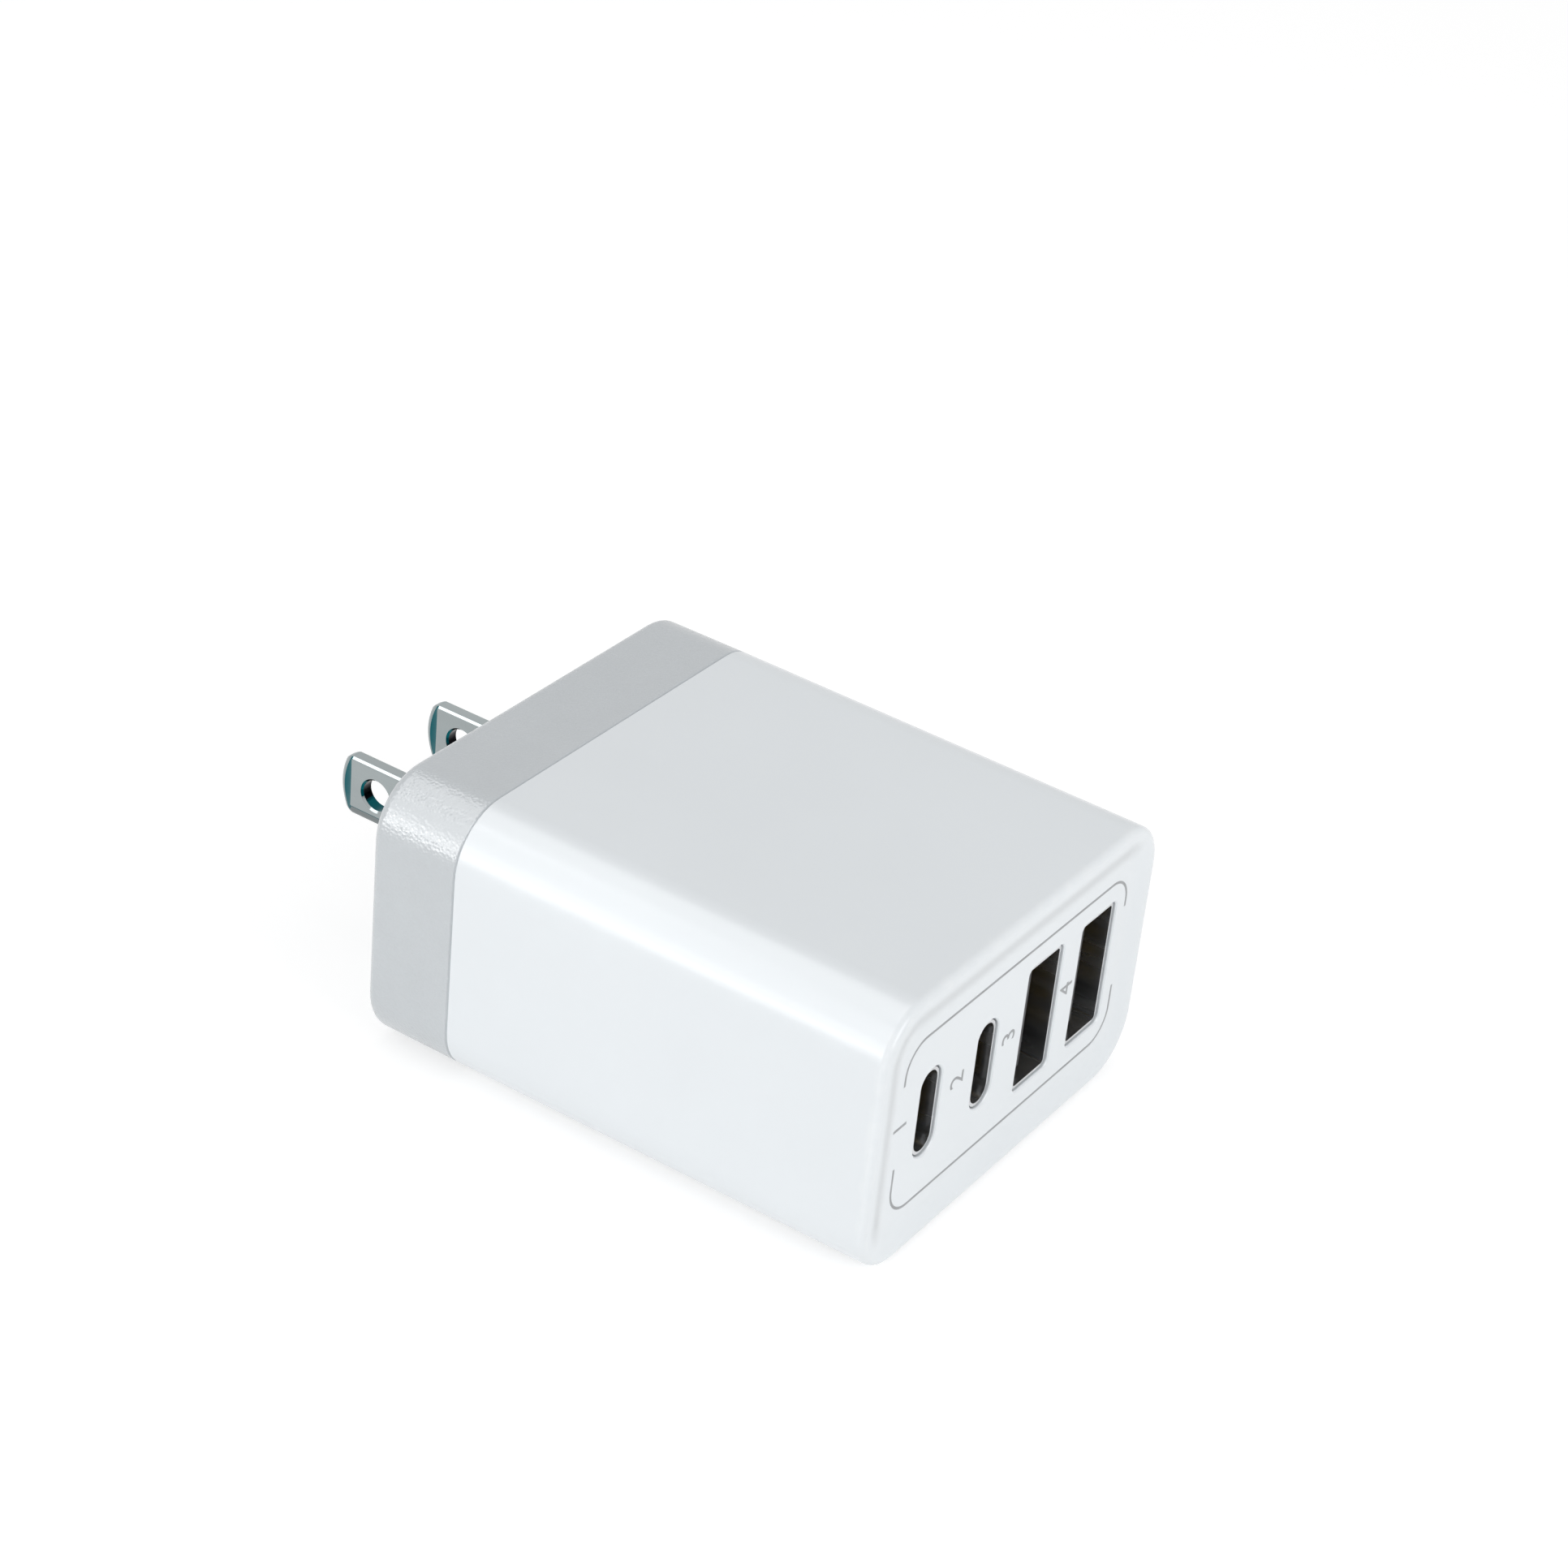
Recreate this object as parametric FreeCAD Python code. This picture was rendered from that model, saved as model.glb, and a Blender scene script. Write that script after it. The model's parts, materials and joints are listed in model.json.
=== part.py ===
import FreeCAD, Part
import math
import os

# A wall charger that plugs straight into an outlet: a white moulded shell, a grey rear cap with two
# fixed flat blades, and two narrow and two wide charging ports standing upright in the front face.
# Millimetres. +Z is up, the port face looks along -Y, the blades point along +Y.
# The origin is the middle of the flat rear face, half-way between the blades.

V = FreeCAD.Vector

# Lengths below this count as nothing when edges are picked out
tolerance = 1e-4

# Angles of a whole, a half and a quarter turn, in degrees
full_turn = 360.0
half_turn = full_turn / 2
quarter_turn = full_turn / 4

# Housing, outside
body_width = 46.0
body_height = 28.0
body_length = 54.3
corner_radius = 5.9
cap_length = 9.4
wall_draft = 0.32
lip_round = 0.7
rear_round = 1.1
round_bands = 5
seam_chamfer = 0.15
lip_width = 1.1
lip_slope = 0.8
face_recess = 0.35

# Housing, inside
side_wall = 2.0
front_wall = 2.0
rear_wall = 2.6
skirt_length = 3.0
skirt_thickness = 1.4
skirt_clearance = 0.1
rail_depth = 1.3
rail_thickness = 1.2
rail_setback = 0.5
rail_clearance = 0.1
rail_root = 0.6
post_radius = 1.4
post_inset = 6.0
post_root = 0.5

# Plug blades and the clips that grip their tails
blade_spacing = 12.7
blade_width = 6.35
blade_thickness = 1.5
blade_reach = 16.9
blade_tip_bulge = 0.8
blade_edge_bevel = 0.9
blade_tip_bevel = 0.7
blade_bevel_depth = 0.4
blade_hole_radius = 1.6
blade_hole_from_tip = 4.4
blade_tail = 6.4
blade_boss_margin = 1.6
blade_boss_height = 1.8
clip_sheet = 0.4
clip_length = 3.8
clip_top_margin = 0.6
clip_slot_width = 0.8

# Ports: what both kinds share
port_count = 4
port_side_margin = 4.8
port_depth = 13.6
mouth_setback = 0.25
aperture_clearance = 0.15
port_sheet = 0.3
leg_clearance = 0.1
pin_clearance = 0.15
leg_reach = 0.8

# Narrow port, with a thin tongue and contacts on both of its faces
narrow_opening = 8.34
narrow_gap = 2.56
narrow_shell_length = 9.5
narrow_floor = 6.2
narrow_tongue_width = 6.69
narrow_tongue_thickness = 0.7
narrow_tongue_setback = 0.9
narrow_leg_width = 1.2
narrow_contacts = 12
narrow_contact_pitch = 0.5
narrow_contact_width = 0.26
narrow_contact_thickness = 0.1
narrow_contact_setback = 0.4

# Wide port, with a thick tongue near one wall, four contacts and sprung fingers in the long walls
wide_opening = 12.5
wide_gap = 5.12
wide_corner = 0.35
wide_floor = 10.6
wide_tongue_width = 11.1
wide_tongue_thickness = 1.84
wide_tongue_gap = 0.5
wide_tongue_setback = 1.0
wide_leg_width = 2.0
wide_contact_near = 1.0
wide_contact_far = 3.5
wide_contact_width = 1.0
wide_contact_thickness = 0.25
wide_contact_setback = 0.7
wide_pin_width = 0.6
finger_spread = 3.0
finger_width = 1.8
finger_slit = 0.3
finger_length = 5.0
finger_from_mouth = 2.6
finger_dip = 0.32

# Circuit boards
board_thickness = 1.6
board_above_floor = 3.0
board_side_clearance = 0.25
board_stop = 0.6
board_stop_width = 3.0
board_tab_width = 3.0
board_tab_clearance = 0.1
port_board_thickness = 1.2
port_board_clearance = 0.4
port_board_notch_clearance = 0.2

# Parts on the upper side of the main board
column_gap = 0.7
bulk_can_radius = 5.0
bulk_can_height = 16.0
output_can_radius = 3.5
output_can_height = 11.0
filter_clearance = 0.8
filter_depth = 5.0
filter_height = 10.5
fuse_clearance = 1.6
fuse_depth = 4.0
fuse_height = 7.7
box_bevel = 0.4
disc_radius = 4.0
disc_thickness = 3.6
choke_core_outer = 3.5
choke_core_inner = 2.1
choke_core_height = 3.6
choke_wire = 0.7
choke_winding_angle = 140.0
choke_base_height = 1.2

# Transformer
core_span = 16.0
core_height = 5.0
core_back = 2.5
core_side_leg = 2.4
core_middle_leg = 5.0
bobbin_clearance = 0.1
bobbin_wall = 0.8
bobbin_flange_gap = 0.2
bobbin_flange_rise = 4.4
bobbin_foot_reach = 1.2
bobbin_foot_height = 2.4
winding_inset = 0.4

# Flat chips: width, depth and height of each
bridge_size = (6.5, 5.0, 1.4)
switch_size = (6.0, 5.0, 1.6)
rectifier_size = (6.0, 5.0, 1.1)
isolator_size = (4.6, 6.5, 2.0)
controller_size = (4.0, 4.0, 0.85)
inductor_size = (4.0, 4.4, 2.0)
chip_chamfer = 0.2
port_chip_gap = 0.8

# Planes that follow from the sizes above
seam_y = -cap_length
front_y = -body_length
face_y = front_y + face_recess
inner_front_y = face_y + front_wall
mouth_y = face_y + mouth_setback
port_board_front = mouth_y + port_depth
port_board_rear = port_board_front + port_board_thickness
inner_rear_y = -rear_wall
board_rear_y = inner_rear_y - board_stop
cavity_width = body_width - 2 * side_wall
cavity_height = body_height - 2 * side_wall
cavity_radius = corner_radius - side_wall
skirt_inset = skirt_clearance + skirt_thickness
skirt_end_y = seam_y - skirt_length
rail_end_y = skirt_end_y - rail_setback
board_bottom = -cavity_height / 2 + board_above_floor
board_top = board_bottom + board_thickness
rail_top = board_top + rail_clearance
tail_end_y = inner_rear_y - blade_tail
blade_x = blade_spacing / 2
clip_half_width = blade_thickness / 2 + clip_sheet
narrow_width = narrow_gap + 2 * port_sheet
narrow_height = narrow_opening + 2 * port_sheet
wide_width = wide_gap + 2 * port_sheet
wide_height = wide_opening + 2 * port_sheet
port_pitch = (body_width - 2 * port_side_margin) / port_count
narrow_xs = (-1.5 * port_pitch, -0.5 * port_pitch)
wide_xs = (0.5 * port_pitch, 1.5 * port_pitch)
between_xs = (-port_pitch, 0.0, port_pitch)


def half_width_inside(z):
    """Half the width of the hollow at height z, which is less beside its rounded corners."""
    into_corner = max(0.0, abs(z) - (cavity_height / 2 - cavity_radius))
    flat_half = cavity_width / 2 - cavity_radius
    return flat_half + math.sqrt(cavity_radius ** 2 - into_corner ** 2)


board_half_width = half_width_inside(board_bottom) - board_side_clearance
board_rear_half_width = cavity_width / 2 - skirt_inset - board_side_clearance

# Room on the board between a blade's clip and the skirt, for the filter and the fuse
clip_edge_x = blade_x + clip_half_width
rear_room = board_rear_half_width - clip_edge_x
rear_part_x = clip_edge_x + rear_room / 2
filter_width = rear_room - 2 * filter_clearance
fuse_width = rear_room - 2 * fuse_clearance

# Room across the board inside the skirt: the transformer fills what the columns beside it leave
across_room = 2 * board_rear_half_width
choke_size = 2 * (choke_core_outer + choke_wire)
columns_beside = [2 * bulk_can_radius, max(choke_size, 2 * output_can_radius)]
transformer_length = across_room - sum(columns_beside) - 4 * column_gap
core_length = transformer_length - 2 * bobbin_foot_reach


def spread(start, end, lengths):
    """Middles of pieces of the given lengths, set out between two ends with equal gaps."""
    gap = (end - start - sum(lengths)) / (len(lengths) + 1)
    middles = []
    at = start
    for length in lengths:
        at += gap
        middles.append(at + length / 2)
        at += length
    return middles


def block(x, y, z):
    """Box between two x, two y and two z values."""
    return Part.makeBox(x[1] - x[0], y[1] - y[0], z[1] - z[0], V(x[0], y[0], z[0]))


def about(middle, size):
    """The two ends of a length laid about its middle."""
    return (middle - size / 2, middle + size / 2)


def upright_outline(width, height, radius, y, x=0.0):
    """Rounded rectangle standing in the XZ plane, as a closed wire at depth y about (x, 0)."""
    half_w = width / 2
    half_h = height / 2
    edges = []
    corners = ((1, 1), (-1, 1), (-1, -1), (1, -1))
    starts = []
    ends = []
    for index, (side, rise) in enumerate(corners):
        centre = V(x + side * (half_w - radius), y, rise * (half_h - radius))
        points = []
        for part_way in (0.0, 0.5, 1.0):
            angle = math.radians((index + part_way) * quarter_turn)
            points.append(centre + V(math.cos(angle), 0, math.sin(angle)) * radius)
        starts.append(points[0])
        ends.append(points[2])
        edges.append(Part.Arc(*points).toShape())
    for index in range(len(corners)):
        here = ends[index]
        there = starts[(index + 1) % len(corners)]
        if (there - here).Length > tolerance:
            edges.append(Part.LineSegment(here, there).toShape())
    return Part.Wire(Part.__sortEdges__(edges))


def upright_prism(width, height, radius, y, x=0.0):
    """Rounded rectangle in the XZ plane, made solid from y[0] to y[1]."""
    face = Part.Face(upright_outline(width, height, radius, y[0], x))
    return face.extrude(V(0, y[1] - y[0], 0))


def edges_at(shape, y):
    """Edges of a shape that lie wholly in the plane at depth y."""
    found = []
    for edge in shape.Edges:
        bounds = edge.BoundBox
        if abs(bounds.YMin - y) < tolerance and abs(bounds.YMax - y) < tolerance:
            found.append(edge)
    return found


def upright_edges(shape):
    """Straight edges of a shape that run along Z."""
    found = []
    for edge in shape.Edges:
        bounds = edge.BoundBox
        if bounds.XLength < tolerance and bounds.YLength < tolerance:
            found.append(edge)
    return found


def edge_round(radius):
    """Insets and depths from an end face back to its wall, for an edge rounded in narrow bands."""
    steps = []
    for index in range(round_bands + 1):
        angle = math.radians(quarter_turn * index / round_bands)
        steps.append((radius * (1 - math.sin(angle)), radius * (1 - math.cos(angle))))
    return steps


def housing_loft(rings):
    """Solid through outlines of the housing, each set in from the full size by its inset at its depth y."""
    outlines = []
    for inset, y in rings:
        width = body_width - 2 * inset
        height = body_height - 2 * inset
        outlines.append(upright_outline(width, height, corner_radius - inset, y))
    return Part.makeLoft(outlines, True, True)


def moulded_skin():
    """Outside of the shell: drafted walls, a rounded lip and the sunken port face."""
    rings = [(seam_chamfer, seam_y), (0.0, seam_y - seam_chamfer)]
    for inset, depth in reversed(edge_round(lip_round)):
        rings.append((wall_draft + inset, front_y + depth))
    lip_inset = wall_draft + lip_width
    sunken = [(lip_inset, front_y), (lip_inset + lip_slope, face_y)]
    return housing_loft(rings).cut(housing_loft(sunken))


def main_shell():
    """White cup, open at the rear, with port apertures, board rails and stop posts inside."""
    hollow = upright_prism(cavity_width, cavity_height, cavity_radius, (inner_front_y, seam_y))
    shell = moulded_skin().cut(hollow)
    inside = []
    for side in (-1, 1):
        ends = sorted((side * (cavity_width / 2 + rail_root), side * (cavity_width / 2 - rail_depth)))
        along = (inner_front_y, rail_end_y)
        inside.append(block(ends, along, (board_bottom - rail_thickness, board_bottom)))
        inside.append(block(ends, along, (rail_top, rail_top + rail_thickness)))
        post_x = side * (cavity_width / 2 - post_inset)
        post_length = port_board_front - inner_front_y
        for rise in (-1, 1):
            foot = V(post_x, inner_front_y, rise * (cavity_height / 2 + post_root - post_radius))
            inside.append(Part.makeCylinder(post_radius, post_length, foot, V(0, 1, 0)))
    shell = shell.multiFuse(inside).removeSplitter()
    through = (front_y, inner_front_y)
    margin = 2 * aperture_clearance
    openings = []
    for x in narrow_xs:
        width = narrow_width + margin
        openings.append(upright_prism(width, narrow_height + margin, width / 2, through, x))
    for x in wide_xs:
        radius = wide_corner + port_sheet + aperture_clearance
        openings.append(upright_prism(wide_width + margin, wide_height + margin, radius, through, x))
    return shell.cut(openings)


def rear_cap():
    """Grey cap: rear wall, outer band, welding skirt, blade bosses and two stops for the board."""
    rings = [(inset, -depth) for inset, depth in edge_round(rear_round)]
    rings += [(0.0, seam_y + seam_chamfer), (seam_chamfer, seam_y)]
    cap = housing_loft(rings)
    margin = 2 * skirt_clearance
    skirt_radius = cavity_radius - skirt_clearance
    skirt_span = (skirt_end_y, seam_y)
    skirt = upright_prism(cavity_width - margin, cavity_height - margin, skirt_radius, skirt_span)
    margin = 2 * skirt_inset
    hollow_radius = cavity_radius - skirt_inset
    hollow_span = (skirt_end_y, inner_rear_y)
    hollow = upright_prism(cavity_width - margin, cavity_height - margin, hollow_radius, hollow_span)
    cap = cap.fuse(skirt).cut(hollow)
    boss_width = blade_thickness + 2 * blade_boss_margin
    boss_height = blade_width + 2 * blade_boss_margin
    boss_span = (inner_rear_y - blade_boss_height, inner_rear_y)
    stop_z = (board_bottom, board_top)
    inside = []
    for side in (-1, 1):
        inside.append(upright_prism(boss_width, boss_height, blade_boss_margin, boss_span, side * blade_x))
        stop_x = about(side * (board_rear_half_width - board_stop_width), board_stop_width)
        inside.append(block(stop_x, (board_rear_y, inner_rear_y), stop_z))
    cap = cap.multiFuse(inside).removeSplitter()
    return cap.cut([blade(-blade_x), blade(blade_x)])


def blade_outline(x):
    """Side view of a blade at thickness position x: straight long edges and a bulging tip."""
    half = blade_width / 2
    corner_y = blade_reach - blade_tip_bulge
    low_rear = V(x, tail_end_y, -half)
    low_front = V(x, corner_y, -half)
    tip = V(x, blade_reach, 0)
    high_front = V(x, corner_y, half)
    high_rear = V(x, tail_end_y, half)
    edges = [
        Part.LineSegment(low_rear, low_front).toShape(),
        Part.Arc(low_front, tip, high_front).toShape(),
        Part.LineSegment(high_front, high_rear).toShape(),
        Part.LineSegment(high_rear, low_rear).toShape(),
    ]
    return Part.Wire(edges)


def edge_bevel(outer_x, inner_x, rise):
    """Waste cut off one long edge of a blade, between its flat face and its narrow edge."""
    edge_z = rise * blade_width / 2
    corners = [
        V(outer_x, tail_end_y, edge_z),
        V(inner_x, tail_end_y, edge_z),
        V(outer_x, tail_end_y, edge_z - rise * blade_edge_bevel),
    ]
    return Part.Face(Part.makePolygon(corners + corners[:1])).extrude(V(0, blade_reach - tail_end_y, 0))


def tip_bevel(outer_x, inner_x):
    """Waste cut off the tip of a blade: the same kind of bevel, turned about the tip's arc."""
    half = blade_width / 2
    tip_radius = (half ** 2 + blade_tip_bulge ** 2) / (2 * blade_tip_bulge)
    reach = math.degrees(math.asin(half / (tip_radius - blade_tip_bevel)))
    corners = [
        V(outer_x, blade_reach, 0),
        V(inner_x, blade_reach, 0),
        V(outer_x, blade_reach - blade_tip_bevel, 0),
    ]
    section = Part.Face(Part.makePolygon(corners + corners[:1]))
    pivot = V(outer_x, blade_reach - tip_radius, 0)
    section.rotate(pivot, V(1, 0, 0), -reach)
    return section.revolve(pivot, V(1, 0, 0), 2 * reach)


def blade(x):
    """Flat plug blade with coined bevels along its edges and tip, and a round hole."""
    half = blade_thickness / 2
    solid = Part.Face(blade_outline(x - half)).extrude(V(blade_thickness, 0, 0))
    waste = []
    for side in (-1, 1):
        outer_x = x + side * half
        inner_x = outer_x - side * blade_bevel_depth
        waste.append(tip_bevel(outer_x, inner_x))
        for rise in (-1, 1):
            waste.append(edge_bevel(outer_x, inner_x, rise))
    hole_at = V(x - half, blade_reach - blade_hole_from_tip, 0)
    waste.append(Part.makeCylinder(blade_hole_radius, blade_thickness, hole_at, V(1, 0, 0)))
    return solid.cut(waste)


def blade_clip(x):
    """Bent strip on the main board, whose two slit leaves grip the tail of a blade."""
    inner = blade_thickness / 2
    outer = clip_half_width
    span = (tail_end_y, tail_end_y + clip_length)
    top = blade_width / 2 - blade_edge_bevel + clip_top_margin
    clip = block((x - outer, x + outer), span, (board_top, top))
    clip = clip.cut(block((x - inner, x + inner), span, (board_top + clip_sheet, top)))
    slit_y = about((span[0] + span[1]) / 2, clip_slot_width)
    slit_z = (-blade_width / 2, top)
    return clip.cut(block((x - outer, x + outer), slit_y, slit_z))


def leg_spans(x, width, height, leg_width, start, spare):
    """The two solder legs of a port shell, or with spare room their slots in the port board."""
    legs = []
    for rise in (-1, 1):
        middle = rise * (height - port_sheet) / 2
        leg_x = about(x, leg_width + 2 * spare)
        leg_y = (start, port_board_rear + leg_reach)
        legs.append(block(leg_x, leg_y, about(middle, port_sheet + 2 * spare)))
    return legs


def narrow_shell(x):
    """Drawn steel shell of a narrow port, with two long solder legs."""
    span = (mouth_y, mouth_y + narrow_shell_length)
    tube = upright_prism(narrow_width, narrow_height, narrow_width / 2, span, x)
    tube = tube.cut(upright_prism(narrow_gap, narrow_opening, narrow_gap / 2, span, x))
    legs = leg_spans(x, narrow_width, narrow_height, narrow_leg_width, span[1], 0.0)
    return tube.multiFuse(legs).removeSplitter()


def narrow_contact_layers(x):
    """The two thin layers, on either face of a narrow port's tongue, that its contacts lie in."""
    face = narrow_tongue_thickness / 2
    layers = []
    for side in (-1, 1):
        layers.append(sorted((x + side * face, x + side * (face + narrow_contact_thickness))))
    return layers


def narrow_contact_set(x):
    """Contact strips on both faces of a narrow port's tongue, running back to the port board."""
    strips = []
    start = mouth_y + narrow_tongue_setback + narrow_contact_setback
    for depth in narrow_contact_layers(x):
        for index in range(narrow_contacts):
            z = (index - (narrow_contacts - 1) / 2) * narrow_contact_pitch
            strips.append(block(depth, (start, port_board_front), about(z, narrow_contact_width)))
    return Part.makeCompound(strips)


def narrow_tongue(x):
    """Thin black plate of a narrow port, which carries the contacts from the mouth to the port board."""
    span = (mouth_y + narrow_tongue_setback, port_board_front)
    return block(about(x, narrow_tongue_thickness), span, about(0, narrow_tongue_width))


def narrow_base(x):
    """Black moulding that closes a narrow port's shell, slotted for the tongue and its contacts."""
    plug_y = mouth_y + narrow_floor
    base_y = mouth_y + narrow_shell_length
    plug = upright_prism(narrow_gap, narrow_opening, narrow_gap / 2, (plug_y, base_y), x)
    base = block(about(x, narrow_width), (base_y, port_board_front), about(0, narrow_opening))
    row_width = (narrow_contacts - 1) * narrow_contact_pitch + narrow_contact_width
    slots = [narrow_tongue(x)]
    for depth in narrow_contact_layers(x):
        slots.append(block(depth, (plug_y, port_board_front), about(0, row_width)))
    return plug.fuse(base).removeSplitter().cut(slots)


def finger_profile(x, side, z):
    """Sprung finger that leans in from a long wall of a wide port and back out at its free end."""
    wall = x + side * (wide_gap / 2)
    root_y = mouth_y + finger_from_mouth + finger_length
    crest_y = mouth_y + finger_from_mouth + finger_length / 4
    free_y = mouth_y + finger_from_mouth + finger_slit
    inward = -side * finger_dip
    outward = side * port_sheet
    path = [
        V(wall, root_y, z),
        V(wall + inward, crest_y, z),
        V(wall, free_y, z),
        V(wall + outward, free_y, z),
        V(wall + inward + outward, crest_y, z),
        V(wall + outward, root_y, z),
    ]
    return Part.Face(Part.makePolygon(path + path[:1]))


def wide_shell(x):
    """Folded steel shell of a wide port: windows with sprung fingers, and two solder legs."""
    span = (mouth_y, port_board_front)
    outer_radius = wide_corner + port_sheet
    shell = upright_prism(wide_width, wide_height, outer_radius, span, x)
    shell = shell.cut(upright_prism(wide_gap, wide_opening, wide_corner, span, x))
    windows = []
    fingers = []
    window_y = (mouth_y + finger_from_mouth, mouth_y + finger_from_mouth + finger_length)
    for side in (-1, 1):
        wall = sorted((x + side * wide_gap / 2, x + side * wide_width / 2))
        for rise in (-1, 1):
            middle = rise * finger_spread
            windows.append(block(wall, window_y, about(middle, finger_width + 2 * finger_slit)))
            low = middle - finger_width / 2
            fingers.append(finger_profile(x, side, low).extrude(V(0, 0, finger_width)))
    shell = shell.cut(windows)
    legs = leg_spans(x, wide_width, wide_height, wide_leg_width, port_board_front, 0.0)
    return shell.multiFuse(fingers + legs).removeSplitter()


def wide_contact_heights():
    """Heights of the four contacts of a wide port, from the lowest up."""
    return (-wide_contact_far, -wide_contact_near, wide_contact_near, wide_contact_far)


def tongue_faces(x):
    """The two x values between which a wide port's tongue lies, nearer to the -X wall."""
    low = x - wide_gap / 2 + wide_tongue_gap
    return (low, low + wide_tongue_thickness)


def wide_contact_set(x):
    """Four flat contacts on a wide port's tongue, each ending in a pin through the port board."""
    face = tongue_faces(x)[1]
    start = mouth_y + wide_tongue_setback + wide_contact_setback
    depth = (face, face + wide_contact_thickness)
    contacts = []
    for z in wide_contact_heights():
        strip = block(depth, (start, port_board_front), about(z, wide_contact_width))
        pin_y = (port_board_front, port_board_rear + leg_reach)
        contacts.append(strip.fuse(block(depth, pin_y, about(z, wide_pin_width))).removeSplitter())
    return Part.makeCompound(contacts)


def wide_tongue(x):
    """Black moulding of a wide port: tongue and the block that closes the rear of the shell."""
    tip_y = mouth_y + wide_tongue_setback
    tongue = block(tongue_faces(x), (tip_y, port_board_front), about(0, wide_tongue_width))
    block_span = (mouth_y + wide_floor, port_board_front)
    rear = upright_prism(wide_gap, wide_opening, wide_corner, block_span, x)
    return rear.fuse(tongue).cut(wide_contact_set(x)).removeSplitter()


def main_board():
    """Board that slides along the rails, narrower inside the cap, with tabs into the port board."""
    z = (board_bottom, board_top)
    step_y = rail_end_y
    board = block((-board_half_width, board_half_width), (port_board_rear, step_y), z)
    rear = block((-board_rear_half_width, board_rear_half_width), (step_y, board_rear_y), z)
    tabs = []
    for x in between_xs:
        tabs.append(block(about(x, board_tab_width), (port_board_front, port_board_rear), z))
    return board.multiFuse([rear] + tabs).removeSplitter()


def port_board():
    """Upright board behind the ports, notched round the rails and slotted for tabs, legs and pins."""
    width = cavity_width - 2 * port_board_clearance
    height = cavity_height - 2 * port_board_clearance
    radius = cavity_radius - port_board_clearance
    span = (port_board_front, port_board_rear)
    board = upright_prism(width, height, radius, span)
    cuts = []
    spare = port_board_notch_clearance
    rail_z = (board_bottom - rail_thickness - spare, rail_top + rail_thickness + spare)
    for side in (-1, 1):
        ends = sorted((side * cavity_width / 2, side * (cavity_width / 2 - rail_depth - spare)))
        cuts.append(block(ends, span, rail_z))
    tab_z = (board_bottom - board_tab_clearance, board_top + board_tab_clearance)
    for x in between_xs:
        cuts.append(block(about(x, board_tab_width + 2 * board_tab_clearance), span, tab_z))
    for x in narrow_xs:
        cuts += leg_spans(x, narrow_width, narrow_height, narrow_leg_width, port_board_front, leg_clearance)
    for x in wide_xs:
        cuts += leg_spans(x, wide_width, wide_height, wide_leg_width, port_board_front, leg_clearance)
        pin_x = tongue_faces(x)[1] + wide_contact_thickness / 2
        for z in wide_contact_heights():
            hole_x = about(pin_x, wide_contact_thickness + 2 * pin_clearance)
            cuts.append(block(hole_x, span, about(z, wide_pin_width + 2 * pin_clearance)))
    return board.cut(cuts)


def can(x, y, radius, height):
    """Round capacitor standing on the board."""
    return Part.makeCylinder(radius, height, V(x, y, board_top))


def boxed(x, y, width, depth, height):
    """Cased part standing on the board, with its upright edges bevelled."""
    body = block(about(x, width), about(y, depth), (board_top, board_top + height))
    return body.makeChamfer(box_bevel, upright_edges(body))


def disc_capacitor(x, y):
    """Disc capacitor standing on the board on its rim."""
    centre = V(x, y - disc_thickness / 2, board_top + disc_radius)
    return Part.makeCylinder(disc_radius, disc_thickness, centre, V(0, 1, 0))


def choke_ring(x, y, grow, sweep, start):
    """Part of a ring that lies about the choke's axis, larger than the core by grow on every side."""
    inner = choke_core_inner - grow
    outer = choke_core_outer + grow
    low = board_top + choke_base_height + choke_wire - grow
    height = choke_core_height + 2 * grow
    corners = [V(inner, 0, low), V(outer, 0, low), V(outer, 0, low + height), V(inner, 0, low + height)]
    section = Part.Face(Part.makePolygon(corners + corners[:1]))
    ring = section.revolve(V(0, 0, 0), V(0, 0, 1), sweep)
    ring.rotate(V(0, 0, 0), V(0, 0, 1), start)
    ring.translate(V(x, y, 0))
    return ring


def choke_core(x, y):
    """Ferrite ring of the line choke."""
    return choke_ring(x, y, 0.0, full_turn, 0.0)


def choke_winding(x, y, side):
    """Wire wound on one half of the choke's ring."""
    middle = 0.0 if side > 0 else half_turn
    start = middle - choke_winding_angle / 2
    return choke_ring(x, y, choke_wire, choke_winding_angle, start).cut(choke_core(x, y))


def choke_base(x, y):
    """Plastic foot under the choke."""
    return boxed(x, y, choke_size, choke_size, choke_base_height)


def transformer_axis():
    """Height of the transformer's middle leg above the frame's origin."""
    return board_top + bobbin_foot_height + core_height / 2


def transformer_core(x, y, side):
    """One E-shaped half of the ferrite core, seen lying flat: a back and three legs."""
    z = about(transformer_axis(), core_height)
    back_x = sorted((x + side * core_length / 2, x + side * (core_length / 2 - core_back)))
    half = block(back_x, about(y, core_span), z)
    leg_x = sorted((x, x + side * (core_length / 2 - core_back)))
    legs = [block(leg_x, about(y, core_middle_leg), z)]
    for rise in (-1, 1):
        middle = y + rise * (core_span - core_side_leg) / 2
        legs.append(block(leg_x, about(middle, core_side_leg), z))
    return half.multiFuse(legs).removeSplitter()


def bobbin_half_sizes():
    """Half the bobbin's length and half the y and z sizes of its tube, from the core it carries."""
    half_length = core_length / 2 - core_back
    half_y = core_middle_leg / 2 + bobbin_clearance + bobbin_wall
    half_z = core_height / 2 + bobbin_clearance + bobbin_wall
    return half_length, half_y, half_z


def flange_half_sizes():
    """Half the y and z sizes of the bobbin's two end flanges."""
    half_y = core_span / 2 - core_side_leg - bobbin_flange_gap
    half_z = core_height / 2 + bobbin_flange_rise
    return half_y, half_z


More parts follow.
